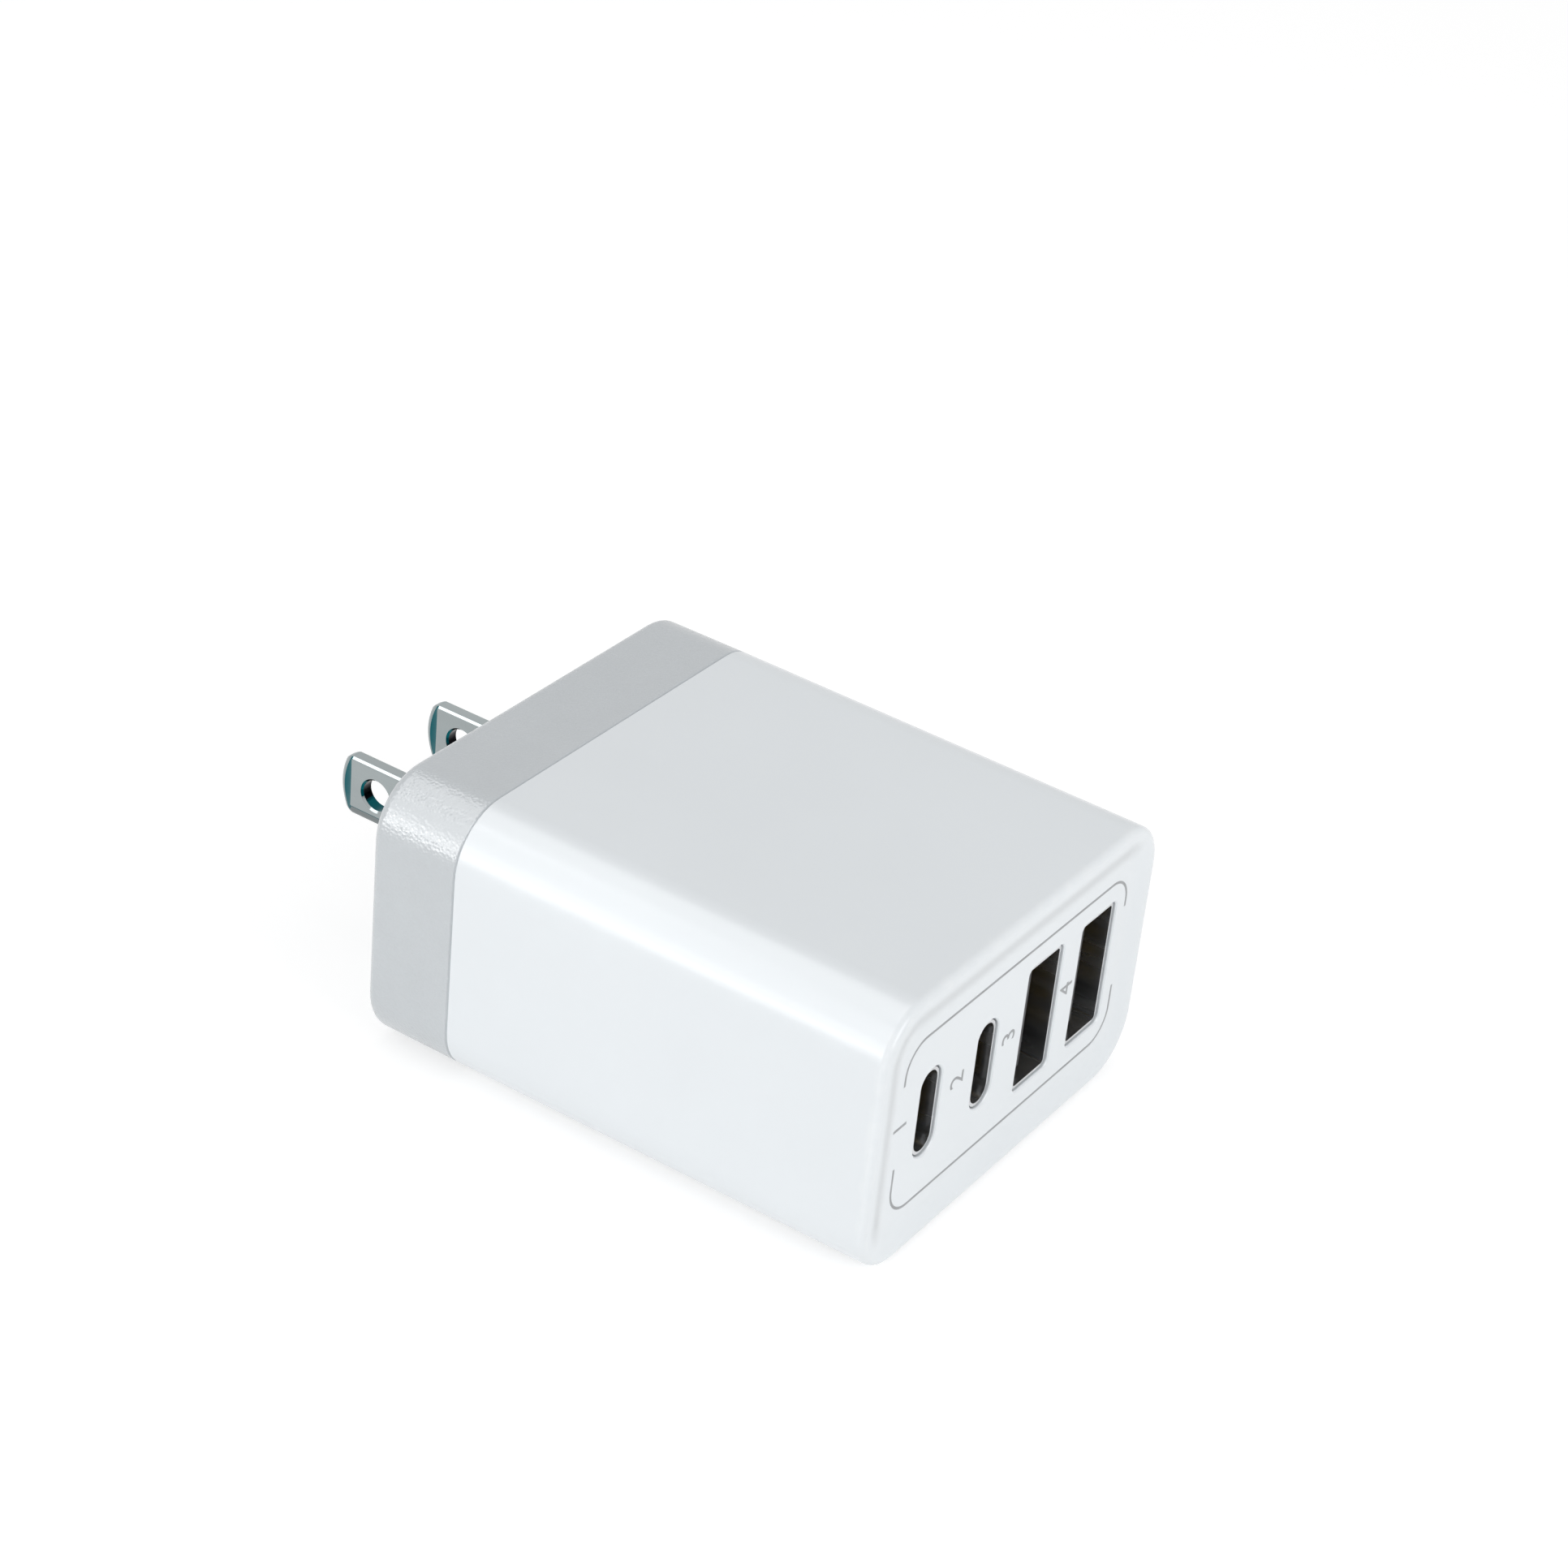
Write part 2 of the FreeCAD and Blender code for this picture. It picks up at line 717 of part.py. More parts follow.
def transformer_bobbin(x, y):
    """Plastic former round the middle leg: square tube, two flanges and two feet on the board."""
    axis = transformer_axis()
    half_length, tube_y, tube_z = bobbin_half_sizes()
    flange_y, flange_z = flange_half_sizes()
    flange_low = max(board_top, axis - flange_z)
    solid = block((x - half_length, x + half_length), about(y, 2 * tube_y), about(axis, 2 * tube_z))
    ends = []
    for side in (-1, 1):
        end = x + side * half_length
        flange_x = sorted((end, end - side * bobbin_wall))
        ends.append(block(flange_x, about(y, 2 * flange_y), (flange_low, axis + flange_z)))
        foot_x = sorted((end - side * bobbin_wall, x + side * (core_length / 2 + bobbin_foot_reach)))
        ends.append(block(foot_x, about(y, core_span), (board_top, board_top + bobbin_foot_height)))
    solid = solid.multiFuse(ends).removeSplitter()
    bore_y = about(y, core_middle_leg + 2 * bobbin_clearance)
    bore_z = about(axis, core_height + 2 * bobbin_clearance)
    return solid.cut(block((x - half_length, x + half_length), bore_y, bore_z))


def transformer_winding(x, y):
    """Taped winding that fills the bobbin between its flanges."""
    axis = transformer_axis()
    half_length, tube_y, tube_z = bobbin_half_sizes()
    flange_y, flange_z = flange_half_sizes()
    span = (x - half_length + bobbin_wall, x + half_length - bobbin_wall)
    outer_y = about(y, 2 * (flange_y - winding_inset))
    low = max(board_top, axis - flange_z) + winding_inset
    coil = block(span, outer_y, (low, axis + flange_z - winding_inset))
    along = [edge for edge in coil.Edges if edge.BoundBox.XLength > half_length]
    coil = coil.makeFillet(tube_y - bobbin_wall, along)
    return coil.cut(block(span, about(y, 2 * tube_y), about(axis, 2 * tube_z)))


def under_chip(x, y, size):
    """Flat chip on the underside of the main board, with its lower rim chamfered."""
    low = board_bottom - size[2]
    body = block(about(x, size[0]), about(y, size[1]), (low, board_bottom))
    rim = [edge for edge in body.Edges if edge.BoundBox.ZMax < low + chip_chamfer]
    return body.makeChamfer(chip_chamfer, rim)


def port_chip(x, z, size):
    """Flat chip on the rear of the port board, with its outer rim chamfered."""
    outer = port_board_rear + size[2]
    body = block(about(x, size[0]), (port_board_rear, outer), about(z, size[1]))
    return body.makeChamfer(chip_chamfer, edges_at(body, outer))


def port_nodes():
    """Shell, tongue and contacts of each of the four ports, and the bases of the narrow ones."""
    nodes = {}
    for number, x in enumerate(narrow_xs, 1):
        nodes[f"narrow_port_{number}_shell"] = narrow_shell(x)
        nodes[f"narrow_port_{number}_tongue"] = narrow_tongue(x)
        nodes[f"narrow_port_{number}_base"] = narrow_base(x)
        nodes[f"narrow_port_{number}_contacts"] = narrow_contact_set(x)
    for number, x in enumerate(wide_xs, 1):
        nodes[f"wide_port_{number}_shell"] = wide_shell(x)
        nodes[f"wide_port_{number}_tongue"] = wide_tongue(x)
        nodes[f"wide_port_{number}_contacts"] = wide_contact_set(x)
    return nodes


def main_board_nodes():
    """Parts on the main board, set out in three columns with equal gaps across and along."""
    columns = [columns_beside[0], transformer_length, columns_beside[1]]
    left_x, middle_x, right_x = spread(-across_room / 2, across_room / 2, columns)
    front = port_board_rear + inductor_size[2]
    bulk = 2 * bulk_can_radius
    output = 2 * output_can_radius
    left_ys = spread(front, board_rear_y, [bulk, bulk, filter_depth])
    middle_ys = spread(front, tail_end_y, [core_span, disc_thickness])
    right_ys = spread(front, board_rear_y, [output, output, choke_size, fuse_depth])
    core_y = middle_ys[0]
    choke_y = right_ys[2]
    nodes = {
        "bulk_capacitor_1": can(left_x, left_ys[0], bulk_can_radius, bulk_can_height),
        "bulk_capacitor_2": can(left_x, left_ys[1], bulk_can_radius, bulk_can_height),
        "line_filter_capacitor": boxed(-rear_part_x, left_ys[2], filter_width, filter_depth, filter_height),
        "transformer_core_left": transformer_core(middle_x, core_y, -1),
        "transformer_core_right": transformer_core(middle_x, core_y, 1),
        "transformer_bobbin": transformer_bobbin(middle_x, core_y),
        "transformer_winding": transformer_winding(middle_x, core_y),
        "disc_capacitor": disc_capacitor(0.0, middle_ys[1]),
        "output_capacitor_1": can(right_x, right_ys[0], output_can_radius, output_can_height),
        "output_capacitor_2": can(right_x, right_ys[1], output_can_radius, output_can_height),
        "choke_core": choke_core(right_x, choke_y),
        "choke_base": choke_base(right_x, choke_y),
        "choke_winding_left": choke_winding(right_x, choke_y, -1),
        "choke_winding_right": choke_winding(right_x, choke_y, 1),
        "fuse": boxed(rear_part_x, right_ys[3], fuse_width, fuse_depth, fuse_height),
    }
    chip_depths = [isolator_size[1], switch_size[1], bridge_size[1]]
    chip_ys = spread(port_board_rear, rail_end_y, chip_depths)
    nodes["isolator_chip"] = under_chip(middle_x, chip_ys[0], isolator_size)
    nodes["switch_chip"] = under_chip(middle_x, chip_ys[1], switch_size)
    nodes["bridge_rectifier"] = under_chip(middle_x, chip_ys[2], bridge_size)
    nodes["rectifier_chip"] = under_chip(right_x, chip_ys[0], rectifier_size)
    return nodes


def port_board_nodes():
    """A power chip and its coil behind each pair of ports, between the rows of pins."""
    nodes = {}
    for number, x in enumerate((-port_pitch, 0.0), 1):
        rise = (controller_size[1] + port_chip_gap) / 2
        drop = (inductor_size[1] + port_chip_gap) / 2
        nodes[f"port_controller_{number}"] = port_chip(x, rise, controller_size)
        nodes[f"port_inductor_{number}"] = port_chip(x, -drop, inductor_size)
    return nodes


def all_nodes():
    """Every piece of the charger, by the name of its node."""
    nodes = {
        "main_shell": main_shell(),
        "rear_cap": rear_cap(),
        "blade_left": blade(-blade_x),
        "blade_right": blade(blade_x),
        "blade_clip_left": blade_clip(-blade_x),
        "blade_clip_right": blade_clip(blade_x),
        "main_board": main_board(),
        "port_board": port_board(),
    }
    nodes.update(port_nodes())
    nodes.update(main_board_nodes())
    nodes.update(port_board_nodes())
    return nodes


os.makedirs("parts", exist_ok=True)
for name, shape in all_nodes().items():
    shape.exportStep(f"parts/{name}.step")
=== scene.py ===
"""Looks of a plug-in wall charger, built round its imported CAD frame.

Lengths in the classes are millimetres in the CAD frame: +Z is up, the port face looks along -Y, the
plug blades point along +Y and the origin is the middle of the flat rear face.
"""

import json
import logging
import math
from dataclasses import dataclass, replace
from enum import Enum

import bmesh
import bpy
from mathutils import Matrix, Vector


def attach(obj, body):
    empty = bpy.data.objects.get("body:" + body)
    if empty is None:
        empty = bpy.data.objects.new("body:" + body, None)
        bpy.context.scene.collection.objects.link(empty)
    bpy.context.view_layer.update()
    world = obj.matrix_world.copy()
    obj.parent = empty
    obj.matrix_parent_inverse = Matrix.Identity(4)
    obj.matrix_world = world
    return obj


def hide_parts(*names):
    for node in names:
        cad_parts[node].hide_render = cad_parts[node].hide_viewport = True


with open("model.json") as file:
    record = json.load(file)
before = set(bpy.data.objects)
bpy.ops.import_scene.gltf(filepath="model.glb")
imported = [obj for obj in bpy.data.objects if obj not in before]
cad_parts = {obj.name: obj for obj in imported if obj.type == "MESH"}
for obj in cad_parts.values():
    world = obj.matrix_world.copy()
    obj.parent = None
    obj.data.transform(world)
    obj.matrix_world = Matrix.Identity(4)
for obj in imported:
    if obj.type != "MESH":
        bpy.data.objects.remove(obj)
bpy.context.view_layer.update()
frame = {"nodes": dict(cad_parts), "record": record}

MM = 0.001
BODY = "root"
LOG = logging.getLogger("charger")

Colour = tuple[float, float, float]
Triple = tuple[float, float, float]
Span = tuple[float, float]
Ring = tuple[float, float]
Loop = list[bmesh.types.BMEdge]
Band = list[bmesh.types.BMFace]
Piece = bpy.types.Object
Tree = bpy.types.NodeTree
Socket = bpy.types.NodeSocket

FULL: Span = (0.0, 1.0)


def linked(name: str, data: bpy.types.ID) -> Piece:
    """Make an object and link it to the scene.

    Args:
        name: Name of the object.
        data: Its mesh, curve, light or camera.

    Returns:
        The new object.
    """
    made = bpy.data.objects.new(name, data)
    bpy.context.scene.collection.objects.link(made)
    return made


def corners(loop: Loop) -> set[bmesh.types.BMVert]:
    """Return the points that a loop's edges join."""
    return {vert for edge in loop for vert in edge.verts}


@dataclass(frozen=True)
class Outline:
    """Rounded rectangle that stands in the XZ plane.

    Args:
        width: Size along X.
        height: Size along Z.
        radius: Radius of its corners.
        x: Middle along X.
        z: Middle along Z.
        steps: Segments in each corner.
    """

    width: float
    height: float
    radius: float
    x: float = 0.0
    z: float = 0.0
    steps: int = 12

    LEAST_RADIUS = 0.02

    def inset(self, amount: float) -> "Outline":
        """Draw the outline in on every side, with corners about the same middles.

        Args:
            amount: How far to draw it in, or out where it is below 0.

        Returns:
            The new outline.
        """
        width, height = self.width - 2 * amount, self.height - 2 * amount
        radius = max(self.radius - amount, self.LEAST_RADIUS)
        return replace(self, width=width, height=height, radius=radius)

    def outward(self, point: Vector) -> Vector:
        """Find the direction, square to the outline, that leads out of it.

        Args:
            point: A point on the outline.

        Returns:
            The direction at that point.
        """
        x, z = point.x - self.x, point.z - self.z
        beyond_x = max(abs(x) - self.width / 2 + self.radius, 0.0)
        beyond_z = max(abs(z) - self.height / 2 + self.radius, 0.0)
        return Vector((math.copysign(beyond_x, x), 0.0, math.copysign(beyond_z, z))).normalized()


def quarter_round(radius: float, steps: int) -> list[Ring]:
    """Points of a quarter circle that turns from a face into a side wall.

    Args:
        radius: Radius of the round.
        steps: Segments in it.

    Returns:
        Pairs of inset from the side and depth below the face, from the face to the side.
    """
    angles = [math.pi / 2 * step / steps for step in range(steps + 1)]
    return [(radius * (1 - math.sin(angle)), radius * (1 - math.cos(angle))) for angle in angles]


def eased_slope(run: float, fall: float, steps: int) -> list[Ring]:
    """Points of a slope that eases out of an upper level and into a lower one.

    Args:
        run: Length of the slope.
        fall: Height between the levels.
        steps: Segments in it.

    Returns:
        Pairs of distance from the slope's top and depth below it, from the top to the foot.
    """
    shares = [step / steps for step in range(steps + 1)]
    return [(run * share, fall * share * share * (3 - 2 * share)) for share in shares]


class Solid:
    """A closed mesh in the making, worked in millimetres and handed over in metres."""

    SHARP_ANGLE = math.radians(32)
    FLATS_FIRST = 90  # of 100, how far large faces lead the shading
    LEVEL = 1e-4  # nearer than this counts as level
    APART = 1.0  # how far loops in one plane are held apart
    HALF_SIDE = 0.5  # of the square that a loop starts from

    def __init__(self, name: str) -> None:
        """Start an empty mesh with its marks.

        Args:
            name: Name of the piece.
        """
        self.name = name
        self.bm = bmesh.new()
        self.wear = self.bm.verts.layers.float.new("wear")
        # per-point mark of painted shade
        self.hollow = self.bm.verts.layers.float.new("hollow")
        # per-face marks of painted reflection, teal and dark
        self.rim = self.bm.faces.layers.float.new("rim")
        self.deep = self.bm.faces.layers.float.new("deep")

    def loop(self, outline: Outline, y: float, wear: float = 0.0) -> Loop:
        """Draw a rounded rectangle as a loop of edges.

        Args:
            outline: The rectangle to draw.
            y: Depth of the plane it stands in.
            wear: How much its points are rubbed in use, from 0 to 1.

        Returns:
            The loop's edges.
        """
        made = bmesh.ops.create_grid(self.bm, x_segments=1, y_segments=1, size=self.HALF_SIDE)["verts"]
        bmesh.ops.scale(self.bm, vec=(outline.width, outline.height, 1.0), verts=made)
        self.stand(made, (outline.x, y, outline.z))
        rounded = bmesh.ops.bevel(
            self.bm, geom=made, offset=outline.radius, segments=outline.steps, profile=0.5,
            affect="VERTICES", material=-1,
        )
        face = rounded["verts"][0].link_faces[0]
        edges = list(face.edges)
        for vert in face.verts:
            vert[self.wear] = wear
        bmesh.ops.delete(self.bm, geom=[face], context="FACES_ONLY")
        return edges

    def stand(self, made: list[bmesh.types.BMVert], place: Triple) -> None:
        """Turn points that were drawn flat into the XZ plane, and move them to their place."""
        bmesh.ops.rotate(self.bm, matrix=Matrix.Rotation(math.pi / 2, 3, "X"), verts=made)
        bmesh.ops.translate(self.bm, vec=place, verts=made)

    def circle(self, radius: float, x: float, y: float, steps: int) -> Loop:
        """Draw a circle in the XZ plane as a loop of edges.

        Args:
            radius: Radius of the circle.
            x: Middle along X.
            y: Depth of the plane it stands in.
            steps: Segments in it.

        Returns:
            The loop's edges.
        """
        made = bmesh.ops.create_circle(self.bm, segments=steps, radius=radius)["verts"]
        self.stand(made, (x, y, 0.0))
        return list({edge for vert in made for edge in vert.link_edges})

    def skin(self, loops: list[Loop]) -> list[Band]:
        """Join each loop to the next with a band of faces.

        Loops in one plane are held apart while they are joined, so that their points pair up.

        Args:
            loops: The loops, in order.

        Returns:
            The bands, in order.
        """
        bands = []
        for first, second in zip(loops, loops[1:]):
            moved = list(corners(second))
            level = abs(first[0].verts[0].co.y - moved[0].co.y) < self.LEVEL
            apart = self.APART if level else 0.0
            bmesh.ops.translate(self.bm, vec=(0.0, apart, 0.0), verts=moved)
            bands.append(bmesh.ops.bridge_loops(self.bm, edges=first + second)["faces"])
            bmesh.ops.translate(self.bm, vec=(0.0, -apart, 0.0), verts=moved)
        return bands

    def fill(self, *loops: Loop) -> None:
        """Close the flat area inside the first loop, leaving the other loops open as holes."""
        edges = [edge for loop in loops for edge in loop]
        bmesh.ops.triangle_fill(self.bm, use_beauty=True, use_dissolve=False, edges=edges)

    def finish(self) -> Piece:
        """Turn the mesh into an object at the origin, in metres, with faces outwards and crisp corners.

        Returns:
            The new object, linked to the scene.
        """
        bmesh.ops.recalc_face_normals(self.bm, faces=self.bm.faces)
        for face in self.bm.faces:
            face.smooth = True
        for edge in self.bm.edges:
            edge.smooth = edge.calc_face_angle(math.pi) < self.SHARP_ANGLE
        bmesh.ops.scale(self.bm, vec=(MM, MM, MM), verts=self.bm.verts)
        mesh = bpy.data.meshes.new(self.name)
        self.bm.to_mesh(mesh)
        self.bm.free()
        piece = linked(self.name, mesh)
        weighted = piece.modifiers.new("even_shading", "WEIGHTED_NORMAL")
        weighted.keep_sharp = True
        weighted.weight = self.FLATS_FIRST
        return piece


class NodeTree:
    """Adds and joins nodes in a material or a node group."""

    MIX_COLOURS = (6, 7)  # a Mix node has sockets for each kind of data, and these are its colours
    MIX_RESULT = 2

    def __init__(self, tree: Tree) -> None:
        """Work in the given tree."""
        self.tree = tree

    def add(self, kind: str, **settings: object) -> bpy.types.Node:
        """Add a node.

        Args:
            kind: Blender's name of the node type.
            settings: Properties of the node to set.

        Returns:
            The new node.
        """
        node = self.tree.nodes.new(kind)
        for key, value in settings.items():
            setattr(node, key, value)
        return node

    def join(self, source: Socket, target: Socket) -> None:
        """Link an output socket to an input socket."""
        self.tree.links.new(source, target)

    def feed(self, target: Socket, source: Socket | float | tuple[float, ...]) -> None:
        """Link an output to an input socket, or set that to a plain value.

        Args:
            target: The input socket.
            source: The output socket or the value.
        """
        if isinstance(source, Socket):
            self.join(source, target)
        else:
            target.default_value = source

    def give(self, node: bpy.types.Node, **values: float | tuple[float, ...]) -> None:
        """Set input sockets of a node, named with _ for each space."""
        for name, value in values.items():
            node.inputs[name.replace("_", " ")].default_value = value

    def group(self, tree: Tree, vector: Socket) -> bpy.types.Node:
        """Place a node group.

        Args:
            tree: The group.
            vector: Where its coordinates come from.

        Returns:
            The group's node.
        """
        node = self.add("ShaderNodeGroup", node_tree=tree)
        self.join(vector, node.inputs["Vector"])
        return node

    def mark(self, name: str) -> Socket:
        """Return the value of a mark that is kept on the mesh."""
        return self.add("ShaderNodeAttribute", attribute_name=name).outputs["Fac"]

    def noise(self, vector: Socket, scale: Socket | float, detail: float) -> Socket:
        """Add a noise texture.

        Args:
            vector: Where its coordinates come from.
            scale: Its scale in features per metre, a socket or a number.
            detail: Octaves of finer noise.

        Returns:
            Its value output.
        """
        node = self.add("ShaderNodeTexNoise")
        self.give(node, Detail=detail)
        self.feed(node.inputs["Scale"], scale)
        self.join(vector, node.inputs["Vector"])
        return node.outputs["Fac"]

    def math(self, operation: str, first: Socket, second: Socket | float) -> Socket:
        """Combine two values.

        Args:
            operation: Blender's name of the operation.
            first: First value.
            second: Second value, a socket or a number.

        Returns:
            The result.
        """
        node = self.add("ShaderNodeMath", operation=operation)
        self.join(first, node.inputs[0])
        self.feed(node.inputs[1], second)
        return node.outputs["Value"]

    def remap(self, value: Socket, source: Span, target: Span) -> Socket:
        """Stretch a value from one range to another, held at the ends.

        Args:
            value: The value to stretch.
            source: Range it comes in.
            target: Range it goes to.

        Returns:
            The stretched value.
        """
        node = self.add("ShaderNodeMapRange")
        self.give(node, From_Min=source[0], From_Max=source[1], To_Min=target[0], To_Max=target[1])
        self.join(value, node.inputs["Value"])
        return node.outputs["Result"]

    def mix(self, amount: Socket, first: Socket | Colour, second: Socket | Colour) -> Socket:
        """Mix two colours.

        Args:
            amount: Share of the second colour.
            first: First colour, a socket or a colour.
            second: Second colour, a socket or a colour.

        Returns:
            The mixed colour.
        """
        node = self.add("ShaderNodeMix", data_type="RGBA")
        self.join(amount, node.inputs["Factor"])
        for index, colour in zip(self.MIX_COLOURS, (first, second)):
            self.feed(node.inputs[index], (*colour, 1.0) if isinstance(colour, tuple) else colour)
        return node.outputs[self.MIX_RESULT]


class Group(NodeTree):
    """A shader node group with named sockets."""

    KINDS = {"Color": "NodeSocketColor", "Vector": "NodeSocketVector"}

    def __init__(self, name: str, inputs: list[str], outputs: list[str]) -> None:
        """Make the group. A socket whose name ends in Color or Vector is of that kind, others are values.

        Args:
            name: Name of the group.
            inputs: Names of its inputs.
            outputs: Names of its outputs.
        """
        super().__init__(bpy.data.node_groups.new(name, "ShaderNodeTree"))
        for way, names in (("INPUT", inputs), ("OUTPUT", outputs)):
            for socket in names:
                kind = self.KINDS.get(socket.split()[-1], "NodeSocketFloat")
                self.tree.interface.new_socket(name=socket, in_out=way, socket_type=kind)
        self.given = self.add("NodeGroupInput").outputs
        self.result = self.add("NodeGroupOutput").inputs

    def cover(self, mask: Socket, colour: str) -> None:
        """Put out a mask, and the given colour with another over it where the mask is."""
        self.join(self.mix(mask, self.given["Color"], self.given[colour]), self.result["Color"])
        self.join(mask, self.result["Mask"])


class Grain(Enum):
    """What a surface's fine relief looks like."""

    MOULDED = "moulded"
    SPARK = "spark"
    DRAWN = "drawn"
    WEAVE = "weave"
    WOUND = "wound"

    def stretch(self) -> Triple:
        """Return how the pattern's coordinates are stretched along X, Y and Z."""
        return STRETCHED.get(self, (1.0, 1.0, 1.0))


STRETCHED: dict[Grain, Triple] = {Grain.DRAWN: (1.0, 0.04, 1.0), Grain.WOUND: (0.15, 0.15, 1.0)}


class Effects:
    """Node groups that several materials share, each built once.

    The noises are pairs of scale and detail, and the spans are the values that go from none to full.
    """

    DRIFT_SCALE = 0.06
    DRIFT_DETAIL = 4.0
    WEAR_NOISE = (700.0, 5.0)
    WEAR_SPAN = (0.38, 0.68)
    DUST_NOISE = (2600.0, 3.0)
    DUST_SPAN = (0.6, 0.78)
    UPWARD_SPAN = (0.4, 1.0)

    def __init__(self) -> None:
        """Build the wear and dust groups; grains are built when first asked for."""
        self.grains: dict[Grain, Tree] = {}
        self.wear = self.build_wear()
        self.dust = self.build_dust()

    def grain(self, kind: Grain) -> Tree:
        """Find the group for a kind of grain, or build it.

        Args:
            kind: The kind of grain.

        Returns:
            The group.
        """
        if kind not in self.grains:
            self.grains[kind] = self.build_grain(kind)
        return self.grains[kind]

    def build_grain(self, kind: Grain) -> Tree:
        """Build a grain group: fine relief, and a slow drift of tone.

        Args:
            kind: The kind of grain.

        Returns:
            A group with Height and Tone outputs.
        """
        group = Group(f"grain_{kind.value}", ["Vector", "Scale"], ["Height", "Tone"])
        stretched = group.add("ShaderNodeMapping")
        group.give(stretched, Scale=kind.stretch())
        group.join(group.given["Vector"], stretched.inputs["Vector"])
        texture = group.add("ShaderNodeTexVoronoi" if kind is Grain.SPARK else "ShaderNodeTexNoise")
        group.join(stretched.outputs["Vector"], texture.inputs["Vector"])
        group.join(group.given["Scale"], texture.inputs["Scale"])
        height = texture.outputs["Distance" if kind is Grain.SPARK else "Fac"]
        if kind is Grain.WEAVE:
            height = self.crossed(group, height)
        group.join(height, group.result["Height"])
        slow = group.math("MULTIPLY", group.given["Scale"], self.DRIFT_SCALE)
        drift = group.noise(stretched.outputs["Vector"], slow, self.DRIFT_DETAIL)
        group.join(drift, group.result["Tone"])
        return group.tree

    def crossed(self, group: Group, height: Socket) -> Socket:
        """Add crossing threads to a grain.

        Args:
            group: The group to work in.
            height: Relief so far.

        Returns:
            Relief with the threads.
        """
        for direction in ("X", "Z"):
            threads = group.add("ShaderNodeTexWave", bands_direction=direction)
            group.join(group.given["Vector"], threads.inputs["Vector"])
            group.join(group.given["Scale"], threads.inputs["Scale"])
            height = group.math("ADD", height, threads.outputs["Fac"])
        return height

    def build_wear(self) -> Tree:
        """Build the group that rubs a colour towards another along handled edges.

        Returns:
            A group with Color and Mask outputs.
        """
        group = Group("edge_wear", ["Color", "Worn Color", "Wear", "Vector"], ["Color", "Mask"])
        patchy = group.noise(group.given["Vector"], *self.WEAR_NOISE)
        rubbed = group.math("MULTIPLY", patchy, group.given["Wear"])
        mask = group.remap(rubbed, self.WEAR_SPAN, FULL)
        group.cover(mask, "Worn Color")
        return group.tree

    def build_dust(self) -> Tree:
        """Build the group that lets a little dust settle on faces that look up.

        Returns:
            A group with Color and Mask outputs.
        """
        group = Group("settled_dust", ["Color", "Dust Color", "Amount", "Vector"], ["Color", "Mask"])
        normal = group.add("ShaderNodeNewGeometry").outputs["Normal"]
        parts = group.add("ShaderNodeSeparateXYZ")
        group.join(normal, parts.inputs["Vector"])
        upward = group.remap(parts.outputs["Z"], self.UPWARD_SPAN, FULL)
        specks = group.remap(group.noise(group.given["Vector"], *self.DUST_NOISE), self.DUST_SPAN, FULL)
        lying = group.math("MULTIPLY", upward, specks)
        mask = group.math("MULTIPLY", lying, group.given["Amount"])
        group.cover(mask, "Dust Color")
        return group.tree


